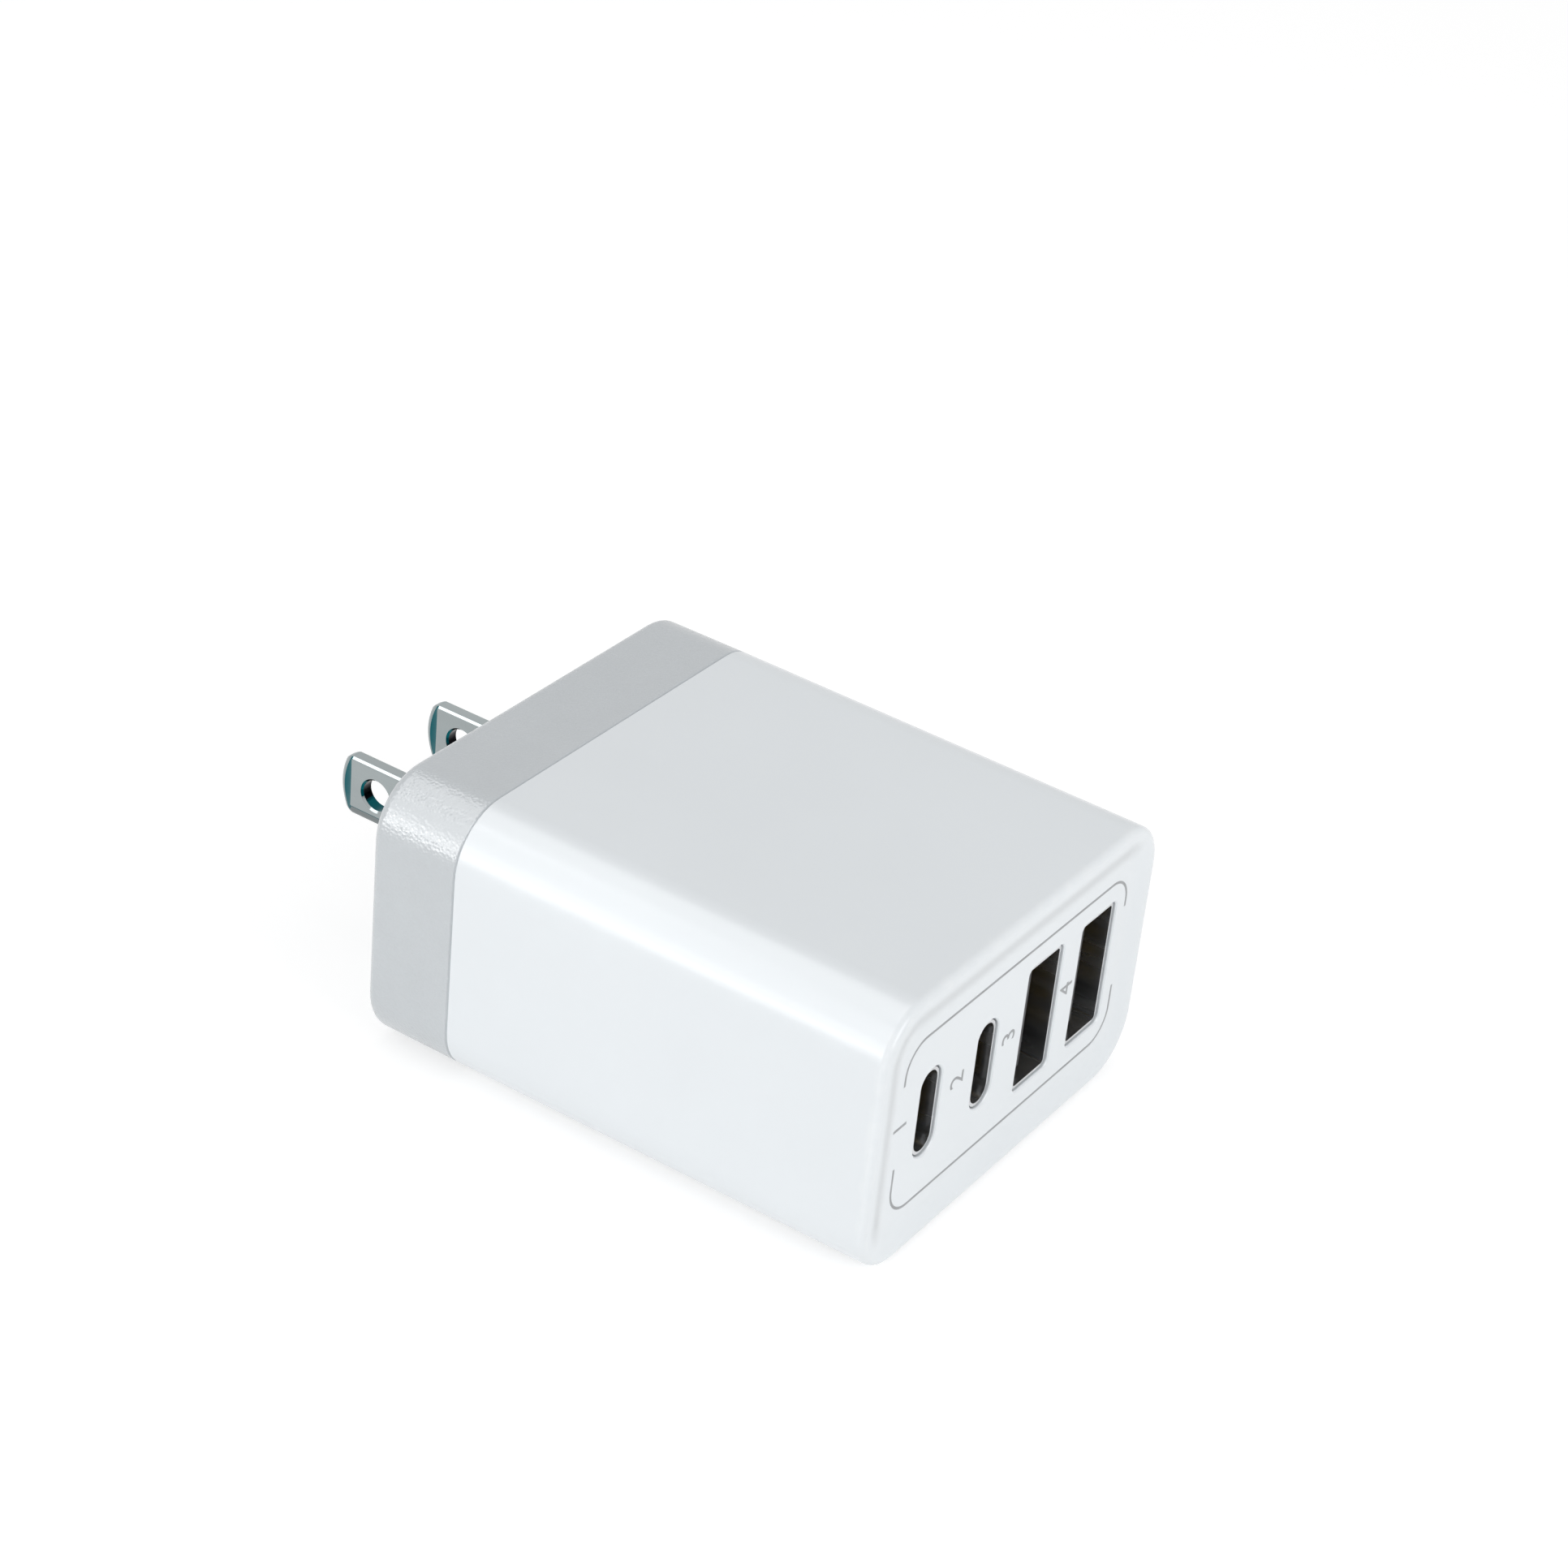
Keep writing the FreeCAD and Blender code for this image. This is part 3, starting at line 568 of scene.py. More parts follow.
@dataclass(frozen=True)
class Finish:
    """How one of the charger's materials looks.

    Args:
        name: The record's slot for it, or a name of its own.
        colour: Main colour, linear.
        roughness: Middle roughness.
        grain: Kind of fine relief.
        grain_size: Size of the relief's features.
        relief: Height of the relief.
        mottle: How far the colour drifts.
        polish_drift: How far the roughness drifts.
        metallic: 1 for metal.
        coat: Weight of a clear coat.
        worn: Colour of rubbed edges.
        dust: Amount of settled dust.
        hollow: Colour of painted shade, mixed in at the points marked with it.
        rim: Colour of painted teal reflection, on the faces marked with it.
        deep: Colour of painted dark reflection, on the faces marked with it.
        specular: Strength of its gloss, 0.5 for common plastics.
    """

    name: str
    colour: Colour
    roughness: float
    grain: Grain = Grain.MOULDED
    grain_size: float = 0.3
    relief: float = 0.004
    mottle: float = 0.03
    polish_drift: float = 0.05
    metallic: float = 0.0
    coat: float = 0.0
    worn: Colour = (0.8, 0.8, 0.8)
    dust: float = 0.0
    hollow: Colour | None = None
    rim: Colour | None = None
    deep: Colour | None = None
    specular: float = 0.5

    DUST_COLOUR = (0.55, 0.53, 0.5)
    DUST_DULLING = 0.3
    WEAR_DULLING = -0.08  # handled edges are smoother
    TONE_SPAN = (0.3, 0.7)

    def shade(self, factor: float) -> Colour:
        """Return the main colour, darker or lighter by a factor."""
        return tuple(min(channel * factor, 1.0) for channel in self.colour)

    def tinted(self, nodes: NodeTree, tone: Socket) -> Socket:
        """Mix the drifting main colour, with painted shade and painted reflections over it at the marked
        places.

        Args:
            nodes: The material's nodes.
            tone: Slow drift of tone.

        Returns:
            The colour without wear or dust.
        """
        drift = nodes.remap(tone, self.TONE_SPAN, FULL)
        colour = nodes.mix(drift, self.shade(1 - self.mottle), self.shade(1 + self.mottle))
        # each mark mixes in painted light: painted shade on the shell, painted reflections on the blades
        for mark, painted_colour in (("hollow", self.hollow), ("rim", self.rim), ("deep", self.deep)):
            if painted_colour:
                colour = nodes.mix(nodes.mark(mark), colour, painted_colour)
        return colour

    def material(self, effects: Effects) -> bpy.types.Material:
        """Build the material.

        Args:
            effects: The shared node groups.

        Returns:
            The new material.
        """
        made = bpy.data.materials.new(self.name)
        made.use_nodes = True
        nodes = NodeTree(made.node_tree)
        surface = made.node_tree.nodes["Principled BSDF"]
        nodes.give(surface, Metallic=self.metallic, Coat_Weight=self.coat, Specular_IOR_Level=self.specular)
        place = nodes.add("ShaderNodeTexCoord").outputs["Object"]
        grain = nodes.group(effects.grain(self.grain), place)
        nodes.give(grain, Scale=1.0 / (self.grain_size * MM))
        tone = grain.outputs["Tone"]
        wear = nodes.group(effects.wear, place)
        nodes.give(wear, Worn_Color=(*self.worn, 1.0))
        nodes.join(nodes.mark("wear"), wear.inputs["Wear"])
        nodes.join(self.tinted(nodes, tone), wear.inputs["Color"])
        dust = nodes.group(effects.dust, place)
        nodes.give(dust, Dust_Color=(*self.DUST_COLOUR, 1.0), Amount=self.dust)
        nodes.join(wear.outputs["Color"], dust.inputs["Color"])
        nodes.join(dust.outputs["Color"], surface.inputs["Base Color"])
        low, high = self.roughness - self.polish_drift, self.roughness + self.polish_drift
        polish = nodes.remap(tone, self.TONE_SPAN, (low, high))
        for group, dulling in ((wear, self.WEAR_DULLING), (dust, self.DUST_DULLING)):
            polish = nodes.math("ADD", polish, nodes.math("MULTIPLY", group.outputs["Mask"], dulling))
        nodes.join(polish, surface.inputs["Roughness"])
        bump = nodes.add("ShaderNodeBump")
        nodes.give(bump, Strength=1.0, Distance=self.relief * MM)
        nodes.join(grain.outputs["Height"], bump.inputs["Height"])
        nodes.join(bump.outputs["Normal"], surface.inputs["Normal"])
        return made


FINISHES = (
    # white_shell's mark colour is painted shade along the foot of the lip's upper and left slopes
    Finish("white_shell", (0.775, 0.81, 0.835), 0.22, grain_size=0.9, relief=0.003, mottle=0.01,
           polish_drift=0.02, worn=(0.8, 0.83, 0.85), dust=0.03, hollow=(0.615, 0.643, 0.663)),
    Finish("grey_cap", (0.525, 0.555, 0.577), 0.12, Grain.SPARK, grain_size=0.28, relief=0.032,
           mottle=0.015, polish_drift=0.02, worn=(0.57, 0.6, 0.62), specular=0.85),
    Finish("print_ink", (0.33, 0.34, 0.35), 0.5, grain_size=0.08, relief=0.002, mottle=0.12),
    # nickel_blade's two mark colours are painted teal reflection and painted dark reflection
    Finish("nickel_blade", (0.35, 0.385, 0.39), 0.13, Grain.DRAWN, grain_size=0.12, relief=0.002,
           mottle=0.05, polish_drift=0.04, metallic=1.0, worn=(0.45, 0.45, 0.43), rim=(0.002, 0.1, 0.12),
           deep=(0.006, 0.006, 0.008)),
    Finish("spring_bronze", (0.72, 0.5, 0.28), 0.3, Grain.DRAWN, grain_size=0.15, mottle=0.08, metallic=1.0),
    Finish("port_steel", (0.62, 0.63, 0.64), 0.26, Grain.DRAWN, grain_size=0.12, relief=0.003, mottle=0.06,
           metallic=1.0),
    Finish("port_moulding", (0.03, 0.03, 0.032), 0.45, grain_size=0.25, relief=0.006, mottle=0.15, dust=0.1),
    Finish("gold_contact", (0.86, 0.64, 0.28), 0.22, Grain.DRAWN, grain_size=0.1, mottle=0.06, metallic=1.0),
    Finish("board_laminate", (0.05, 0.22, 0.1), 0.35, Grain.WEAVE, grain_size=0.4, relief=0.01, mottle=0.1,
           coat=0.4),
    Finish("can_sleeve", (0.04, 0.05, 0.07), 0.28, grain_size=0.5, mottle=0.15, coat=0.2),
    Finish("bare_can", (0.74, 0.75, 0.76), 0.3, Grain.DRAWN, grain_size=0.2, mottle=0.05, metallic=1.0),
    Finish("yellow_case", (0.75, 0.55, 0.06), 0.35, grain_size=0.4, mottle=0.06),
    Finish("dark_case", (0.05, 0.05, 0.05), 0.45, mottle=0.15),
    Finish("blue_lacquer", (0.05, 0.14, 0.42), 0.22, grain_size=0.8, relief=0.02, mottle=0.12, coat=0.5),
    Finish("ferrite", (0.09, 0.09, 0.1), 0.6, Grain.SPARK, grain_size=0.25, relief=0.01, mottle=0.15),
    Finish("copper_wire", (0.62, 0.27, 0.12), 0.3, Grain.WOUND, grain_size=0.35, relief=0.05, mottle=0.1,
           metallic=1.0, coat=0.3),
    Finish("winding_tape", (0.72, 0.58, 0.1), 0.3, Grain.WOUND, grain_size=0.6, relief=0.02, mottle=0.06),
    Finish("chip_epoxy", (0.04, 0.04, 0.045), 0.5, Grain.SPARK, grain_size=0.12, relief=0.006, mottle=0.12),
)


class Palette:
    """All the finishes as materials, and the rules for putting them on."""

    def __init__(self, finishes: tuple[Finish, ...]) -> None:
        """Build a material for each finish."""
        effects = Effects()
        self.materials = {finish.name: finish.material(effects) for finish in finishes}

    def dress(self, piece: Piece, slot: str, *stands_for: str, finish: str = "") -> None:
        """Give a new piece its finish and its body, and hide the CAD nodes that it stands for.

        Args:
            piece: The new piece.
            slot: The record's material slot.
            stands_for: CAD nodes that the piece replaces.
            finish: Name of its finish, where that isn't the slot's.
        """
        piece.data.materials.append(self.materials[finish or slot])
        if stands_for:
            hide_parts(*stands_for)
        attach(piece, BODY)
        LOG.info("%s: %s, %d faces", piece.name, slot, len(piece.data.polygons))

    def dress_node(self, node: str, slot: str) -> None:
        """Give a CAD node that stays its finish.

        Args:
            node: Name of the node.
            slot: The record's material slot.
        """
        piece = frame["nodes"][node]
        piece.data.materials.clear()
        piece.data.materials.append(self.materials[slot])
        LOG.info("%s: %s, kept from the frame", node, slot)


@dataclass
class Housing:
    """White shell and grey cap, which meet in a fine groove."""

    width: float = 46.0
    height: float = 28.0
    length: float = 54.3
    corner: float = 5.9
    cap_length: float = 9.4
    draft: float = 0.32
    lip_round: float = 0.7
    lip_width: float = 1.1
    lip_slope: float = 2.6
    shade_lean: float = 0.75  # under 1 puts the darkest line of the painted shade on the slope nearer to the lip
    face_recess: float = 0.35
    rear_round: float = 1.1
    groove: float = 0.15
    side_wall: float = 2.0
    front_wall: float = 2.0
    rear_wall: float = 2.6
    skirt_length: float = 3.0
    skirt_thickness: float = 1.4
    skirt_clearance: float = 0.1
    mouth_bevel: float = 0.12
    lip_wear: float = 1.0
    rear_wear: float = 0.7
    shell_seam_wear: float = 0.5
    cap_seam_wear: float = 0.4
    worn_reach: float = 1.2  # from a worn edge to where the wear ends
    flat_margin: float = 0.3  # strip of flat face beside a round, which keeps its shading even
    round_steps: int = 8

    @property
    def outside(self) -> Outline:
        """Outline of the cap and of the shell where they meet."""
        return Outline(self.width, self.height, self.corner)

    @property
    def inside(self) -> Outline:
        """Outline of the shell's inner cavity."""
        return self.outside.inset(self.side_wall)

    @property
    def face_y(self) -> float:
        """Depth of the sunken port face."""
        return self.face_recess - self.length

    def build_shell(self, apertures: list[Outline]) -> Piece:
        """Model the shell: a drafted cup with a rounded lip and a sunken face that the ports pierce.

        Args:
            apertures: Outlines of the openings in the face.

        Returns:
            The shell.
        """
        solid = Solid("shell_moulding")
        outside, inside = self.outside, self.inside
        front_y, seam_y = -self.length, -self.cap_length
        inner_y = self.face_y + self.front_wall
        lip_inset = self.draft + self.lip_width
        loops = [solid.loop(outside.inset(lip_inset + self.lip_slope + self.flat_margin), self.face_y)]
        for run, fall in reversed(eased_slope(self.lip_slope, self.face_recess, self.round_steps)):
            line = outside.inset(lip_inset + run)
            loops.append(solid.loop(line, front_y + fall))
            self.shade_slope(solid, loops[-1], line, run)
        rings = []
        for inset, depth in quarter_round(self.lip_round, self.round_steps):
            rings.append((self.draft + inset, front_y + depth, self.lip_wear))
        for y in (front_y + self.lip_round + self.worn_reach, seam_y - self.worn_reach):
            rings.append((self.draft * (seam_y - y) / (seam_y - front_y), y, 0.0))
        rings.append((0.0, seam_y - self.groove, self.shell_seam_wear))
        rings.append((self.groove, seam_y, self.shell_seam_wear))
        loops += [solid.loop(outside.inset(inset), y, wear) for inset, y, wear in rings]
        loops += [solid.loop(inside, seam_y), solid.loop(inside, inner_y)]
        self.close_wall(solid, loops, apertures, self.face_y, inner_y)
        return solid.finish()

    def close_wall(
        self, solid: Solid, loops: list[Loop], openings: list[Outline], face: float, back: float
    ) -> None:
        """Skin a moulding and close its pierced wall round the openings.

        Args:
            solid: The moulding's mesh.
            loops: Its lines, from the wall's outer face round to its inner face.
            openings: Outlines of the openings through the wall.
            face: Depth of the outer face.
            back: Depth of the inner face.
        """
        bevel_y = face + math.copysign(self.mouth_bevel, back - face)
        mouths, throats = [], []
        for opening in openings:
            mouth = solid.loop(opening.inset(-self.mouth_bevel), face)
            edge = solid.loop(opening, bevel_y)
            throat = solid.loop(opening, back)
            solid.skin([mouth, edge, throat])
            mouths.append(mouth)
            throats.append(throat)
        solid.skin(loops)
        solid.fill(loops[0], *mouths)
        solid.fill(loops[-1], *throats)

    def shade_slope(self, solid: Solid, loop: Loop, line: Outline, run: float) -> None:
        """Paint shade on the lip's inner slope, along its upper and left sides, as a mark that darkens its
        colour.

        Args:
            solid: The shell's mesh.
            loop: A line along the slope.
            line: Its outline.
            run: How far down the slope it lies.
        """
        # strength of the painted shade across the slope, darkest a little way down from the lip
        depth = math.sin(math.pi * (run / self.lip_slope) ** self.shade_lean) ** 2
        # the shade is painted only where the slope faces down or to the right
        for vert in corners(loop):
            away = line.outward(vert.co)
            vert[solid.hollow] = depth * min(max(away.z - away.x, 0.0), 1.0)

    def build_cap(self, slots: list[Outline]) -> Piece:
        """Model the cap: a rounded band and rear wall, with a skirt that goes into the shell.

        Args:
            slots: Outlines of the slots that the blades come out of.

        Returns:
            The cap.
        """
        solid = Solid("cap_moulding")
        outside, seam_y = self.outside, -self.cap_length
        skirt_y = seam_y - self.skirt_length
        skirt_outside = self.inside.inset(self.skirt_clearance)
        skirt_inside = skirt_outside.inset(self.skirt_thickness)
        loops = [solid.loop(outside.inset(self.rear_round + self.flat_margin), 0.0)]
        for inset, depth in quarter_round(self.rear_round, self.round_steps):
            loops.append(solid.loop(outside.inset(inset), -depth, self.rear_wear))
        loops += [
            solid.loop(outside, -self.rear_round - self.worn_reach),
            solid.loop(outside, seam_y + self.worn_reach),
            solid.loop(outside, seam_y + self.groove, self.cap_seam_wear),
            solid.loop(outside.inset(self.groove), seam_y, self.cap_seam_wear),
            solid.loop(skirt_outside, seam_y),
            solid.loop(skirt_outside, skirt_y),
            solid.loop(skirt_inside, skirt_y),
            solid.loop(skirt_inside, -self.rear_wall),
        ]
        self.close_wall(solid, loops, slots, 0.0, -self.rear_wall)
        return solid.finish()

    def dress(self, palette: Palette, apertures: list[Outline], slots: list[Outline]) -> None:
        """Build the shell with its port apertures and the cap with its slots, and finish both."""
        palette.dress(self.build_shell(apertures), "white_shell", "main_shell")
        palette.dress(self.build_cap(slots), "grey_cap", "rear_cap")


@dataclass(frozen=True)
class BladeRing:
    """A line round a blade, on the way from a flat side to the narrow side.

    Args:
        depth: How far below the flat side it lies.
        tip: Inset from the blade's tip.
        top: Inset from its upper edge.
        bottom: Inset from its lower edge.
        bowed: Whether its tip follows the bow of the blade's end, or is straight.
    """

    depth: float
    tip: float
    top: float
    bottom: float
    bowed: bool = True


@dataclass
class Blades:
    """Two flat plug blades with coined edges, a bowed tip and a hole.

    The painted reflections have a value for each band of faces, from a flat side to the narrow side.
    """

    spacing: float = 12.7
    width: float = 6.35
    thickness: float = 1.5
    reach: float = 16.9
    tail: float = 9.0
    tip_radius: float = 0.7
    tip_bulge: float = 0.8
    flat_corner: float = 0.12
    corner_steps: int = 8
    tip_cuts: int = 9
    edge_wear: float = 0.5
    edge: tuple[BladeRing, ...] = (
        BladeRing(0.0, 0.85, 0.5, 1.2, bowed=False),
        BladeRing(0.0, 0.6, 0.22, 0.95, bowed=False),
        BladeRing(0.03, 0.55, 0.16, 0.87, bowed=False),
        BladeRing(0.16, 0.5, 0.03, 0.42),
        BladeRing(0.22, 0.32, 0.0, 0.22),
        BladeRing(0.32, 0.15, 0.0, 0.04),
        BladeRing(0.45, 0.0, 0.0, 0.0),
    )
    # painted reflection on each band: teal across the tip, a teal line below the flats, and dark below that
    tip_tint: tuple[float, ...] = (0.0, 1.0, 1.0, 0.2, 0.1, 0.1, 0.1)
    lower_line: tuple[float, ...] = (0.0, 1.0, 0.1, 0.1, 0.1, 0.1, 0.1)
    lower_shade: tuple[float, ...] = (0.0, 0.0, 0.4, 0.4, 0.4, 0.4, 0.4)
    hole_radius: float = 1.6
    hole_from_tip: float = 4.4
    hole_bevel: float = 0.2
    hole_steps: int = 48
    hole_glint: float = -0.35  # in radii: its bevels are bright below this height, with painted teal reflection above it
    hole_shade: float = -0.6  # in radii: painted dark reflection on its wall above this height, painted teal reflection below it
    # painted dark reflection on the hole's wall below that height
    hole_floor_shade: float = 0.3
    slot_clearance: float = 0.06
    slot_corner: float = 0.1
    slot_steps: int = 2

    def slots(self) -> list[Outline]:
        """Lay out the slots in the cap that the blades come out of.

        Returns:
            Their outlines.
        """
        width, height = self.thickness + 2 * self.slot_clearance, self.width + 2 * self.slot_clearance
        slot = Outline(width, height, self.slot_corner, steps=self.slot_steps)
        return [replace(slot, x=x) for x in self.places().values()]

    def places(self) -> dict[str, float]:
        """Blade names and their places along X."""
        return {"left": -self.spacing / 2, "right": self.spacing / 2}

    def ring_loop(self, solid: Solid, ring: BladeRing, y: float) -> Loop:
        """Draw one line round the blade, which lies along X.

        Args:
            solid: The mesh to draw in.
            ring: The line's insets.
            y: Depth of the plane it stands in.

        Returns:
            The loop's edges.
        """
        straight = self.reach - self.tip_bulge
        middle = (straight - self.tail) / 2
        outline = Outline(
            straight + self.tail - 2 * ring.tip,
            self.width - ring.top - ring.bottom,
            self.tip_radius - ring.tip if ring.bowed else self.flat_corner,
            x=middle,
            z=(ring.bottom - ring.top) / 2,
            steps=self.corner_steps,
        )
        edges = solid.loop(outline, y, self.edge_wear)
        end = max(vert.co.x for vert in corners(edges))
        tip = [edge for edge in edges if all(end - vert.co.x < solid.LEVEL for vert in edge.verts)]
        cut = bmesh.ops.bisect_edges(solid.bm, edges=tip, cuts=self.tip_cuts)["geom_split"]
        edges = list({*edges, *(item for item in cut if isinstance(item, bmesh.types.BMEdge))})
        if ring.bowed:
            for vert in corners(edges):
                if vert.co.x > middle:
                    vert.co.x += self.tip_bulge * (1 - (2 * vert.co.z / self.width) ** 2)
        return edges

    def tint_edges(self, solid: Solid, bands: list[Band]) -> None:
        """Mark the faces on which reflection is painted, darker than the plating: across the tip and below
        the flats.

        Args:
            solid: The blade's mesh.
            bands: Bands round its outline.
        """
        tip_x = self.reach - self.tip_bulge - max(ring.tip for ring in self.edge)
        for index, band in enumerate(bands):
            step = min(index, len(bands) - 1 - index)
            for face in band:
                middle = face.calc_center_median()
                if middle.x > tip_x:
                    face[solid.rim] = self.tip_tint[step]
                elif middle.z < 0:
                    face[solid.rim] = self.lower_line[step]
                    face[solid.deep] = self.lower_shade[step]

    def tint_hole(self, solid: Solid, bands: list[Band]) -> None:
        """Mark painted reflection in the hole: teal round the upper part of its bevels, and dark on its wall
        all but below.

        Args:
            solid: The blade's mesh.
            bands: Bands through the hole.
        """
        near, wall, far = bands
        for face in near + far:
            face[solid.rim] = float(face.calc_center_median().z > self.hole_glint * self.hole_radius)
        for face in wall:
            below = face.calc_center_median().z < self.hole_shade * self.hole_radius
            face[solid.rim] = float(below)
            face[solid.deep] = self.hole_floor_shade if below else 1.0

    def build(self, name: str, x: float) -> Piece:
        """Model one blade.

        Args:
            name: Name of the piece.
            x: Its place along X.

        Returns:
            The blade.
        """
        solid = Solid(name)
        half = self.thickness / 2
        rims = [self.ring_loop(solid, ring, ring.depth - half) for ring in self.edge]
        rims += [self.ring_loop(solid, ring, half - ring.depth) for ring in reversed(self.edge)]
        hole_x = self.reach - self.hole_from_tip
        narrow, wide = self.hole_radius, self.hole_radius + self.hole_bevel
        wall_y = half - self.hole_bevel
        sections = ((wide, -half), (narrow, -wall_y), (narrow, wall_y), (wide, half))
        holes = [solid.circle(radius, hole_x, y, self.hole_steps) for radius, y in sections]
        self.tint_edges(solid, solid.skin(rims))
        self.tint_hole(solid, solid.skin(holes))
        solid.fill(rims[0], holes[0])
        solid.fill(rims[-1], holes[-1])
        pointing_back = Matrix.Translation((x, 0.0, 0.0)) @ Matrix.Rotation(math.pi / 2, 4, "Z")
        bmesh.ops.transform(solid.bm, matrix=pointing_back, verts=solid.bm.verts)
        return solid.finish()

    def dress(self, palette: Palette) -> None:
        """Build both blades and give them their finish."""
        for side, x in self.places().items():
            palette.dress(self.build(f"plug_blade_{side}", x), "nickel_blade", f"blade_{side}")


@dataclass
class Ports:
    """Places and openings of the four upright ports."""

    pitch: float = 9.1
    clearance: float = 0.15
    sheet: float = 0.3
    narrow_width: float = 2.56
    narrow_height: float = 8.34
    wide_width: float = 5.12
    wide_height: float = 12.5
    wide_corner: float = 0.35
    wide_steps: int = 6
    narrow_rounding: float = 0.495  # corner radius as a share of the width, just short of a full round
    narrow_places: tuple[float, ...] = (-1.5, -0.5)  # in pitches from the middle
    wide_places: tuple[float, ...] = (0.5, 1.5)

    def apertures(self) -> list[Outline]:
        """Lay out the openings in the face.

        Returns:
            Their outlines, from left to right.
        """
        wall = self.sheet + self.clearance
        width, height = self.narrow_width + 2 * wall, self.narrow_height + 2 * wall
        narrow = Outline(width, height, width * self.narrow_rounding)
        socket = Outline(self.wide_width, self.wide_height, self.wide_corner, steps=self.wide_steps)
        wide = socket.inset(-wall)
        found = [replace(narrow, x=place * self.pitch) for place in self.narrow_places]
        return found + [replace(wide, x=place * self.pitch) for place in self.wide_places]


@dataclass
class FacePrint:
    """Fine grey print on the port face: a broken outline, and a plain numeral beside each port."""

    face_y: float
    width: float = 36.6
    height: float = 17.7
    corner: float = 2.9
    line: float = 0.26
    film: float = 0.012
    merge_share: float = 0.1  # points nearer than this share of the film are one
    gap_low: float = -3.5
    gap_high: float = 5.2
    numeral_size: float = 3.0
    numeral_z: float = 0.9
    numeral_x: tuple[float, ...] = (-18.1, -9.1, -0.65, 9.1)

    def build_outline(self) -> Piece:
        """Model the outline as a thin film, open at the middle of its left and right sides.

        Returns:
            The outline.
        """
        solid = Solid("face_outline")
        outer = Outline(self.width + self.line, self.height + self.line, self.corner + self.line / 2)
        inner = outer.inset(self.line)
        top = self.face_y - self.film
        places = ((outer, self.face_y), (outer, top), (inner, top), (inner, self.face_y))
        loops = [solid.loop(outline, y) for outline, y in places]
        solid.skin(loops + loops[:1])
        for z in (self.gap_low, self.gap_high):
            everything = solid.bm.verts[:] + solid.bm.edges[:] + solid.bm.faces[:]
            bmesh.ops.bisect_plane(
                solid.bm, geom=everything, plane_co=(0.0, 0.0, z), plane_no=(0.0, 0.0, 1.0)
            )
        faces = solid.bm.faces
        between = [face for face in faces if self.gap_low < face.calc_center_median().z < self.gap_high]
        bmesh.ops.delete(solid.bm, geom=between, context="FACES")
        bmesh.ops.holes_fill(solid.bm, edges=[edge for edge in solid.bm.edges if edge.is_boundary])
        return solid.finish()

    def build_numeral(self, number: int, x: float) -> Piece:
        """Model one numeral as a thin film, turned to read up the face.

        Args:
            number: The number to print.
            x: Its place along X.

        Returns:
            The numeral.
        """
        curve = bpy.data.curves.new(f"numeral_{number}", "FONT")
        curve.body = str(number)
        curve.size = self.numeral_size * MM
        curve.align_x, curve.align_y = "CENTER", "CENTER"
        curve.extrude = self.film * MM / 2
        written = linked(curve.name, curve)
        bpy.context.view_layer.update()
        mesh = bpy.data.meshes.new_from_object(written)
        bpy.data.objects.remove(written)
        upright = Matrix.Rotation(math.pi / 2, 4, "X") @ Matrix.Rotation(math.pi / 2, 4, "Z")
        place = Vector((x, self.face_y - self.film / 2, self.numeral_z)) * MM
        mesh.transform(Matrix.Translation(place) @ upright)
        self.close(mesh)
        return linked(f"numeral_{number}", mesh)

    def close(self, mesh: bpy.types.Mesh) -> None:
        """Merge a numeral's doubled points and turn its faces outwards.

        Args:
            mesh: The numeral's mesh.
        """
        bm = bmesh.new()
        bm.from_mesh(mesh)
        bmesh.ops.remove_doubles(bm, verts=bm.verts, dist=self.film * MM * self.merge_share)
        bmesh.ops.recalc_face_normals(bm, faces=bm.faces)
        bm.to_mesh(mesh)
        bm.free()

    def dress(self, palette: Palette) -> None:
        """Print the outline and the numerals.

        Args:
            palette: The finishes.
        """
        printed = [self.build_outline()]
        printed += [self.build_numeral(number, x) for number, x in enumerate(self.numeral_x, start=1)]
        for piece in printed:
            palette.dress(piece, "grey_cap", finish="print_ink")


class Insides:
    """CAD nodes that keep their shape: the ports, the boards and what is on them."""

    def dress(self, palette: Palette) -> None:
        """Give every node its slot's finish, shown or not."""
        for part in frame["record"]["subparts"]:
            palette.dress_node(part["node"], part["material_slot"])


class Reach(Enum):
    """What a light does: it lights everything, only shows in gloss, or only lights the colour."""

    ALL = "all"
    GLOSS = "gloss"
    BODY = "body"


@dataclass(frozen=True)
class Softbox:
    """A rectangular soft light that faces the charger.

    Args:
        name: Its name.
        place: Where it hangs.
        size: Its length and its height.
        power: Its power in watts.
        reach: Which part of a surface's look it lights.
    """

    name: str
    place: Triple
    size: tuple[float, float]
    power: float
    reach: Reach = Reach.ALL

    TARGET = (0.0, -27.0, 0.0)

    def hang(self) -> None:
        """Make the light and turn it to the charger."""
        lamp = bpy.data.lights.new(self.name, "AREA")
        lamp.shape = "RECTANGLE"
        lamp.size, lamp.size_y = (side * MM for side in self.size)
        lamp.energy = self.power
        hung = linked(self.name, lamp)
        hung.location = Vector(self.place) * MM
        towards = Vector(self.TARGET) - Vector(self.place)
        hung.rotation_euler = towards.to_track_quat("-Z", "Y").to_euler()
        hung.visible_diffuse = self.reach is not Reach.GLOSS
        hung.visible_glossy = self.reach is not Reach.BODY


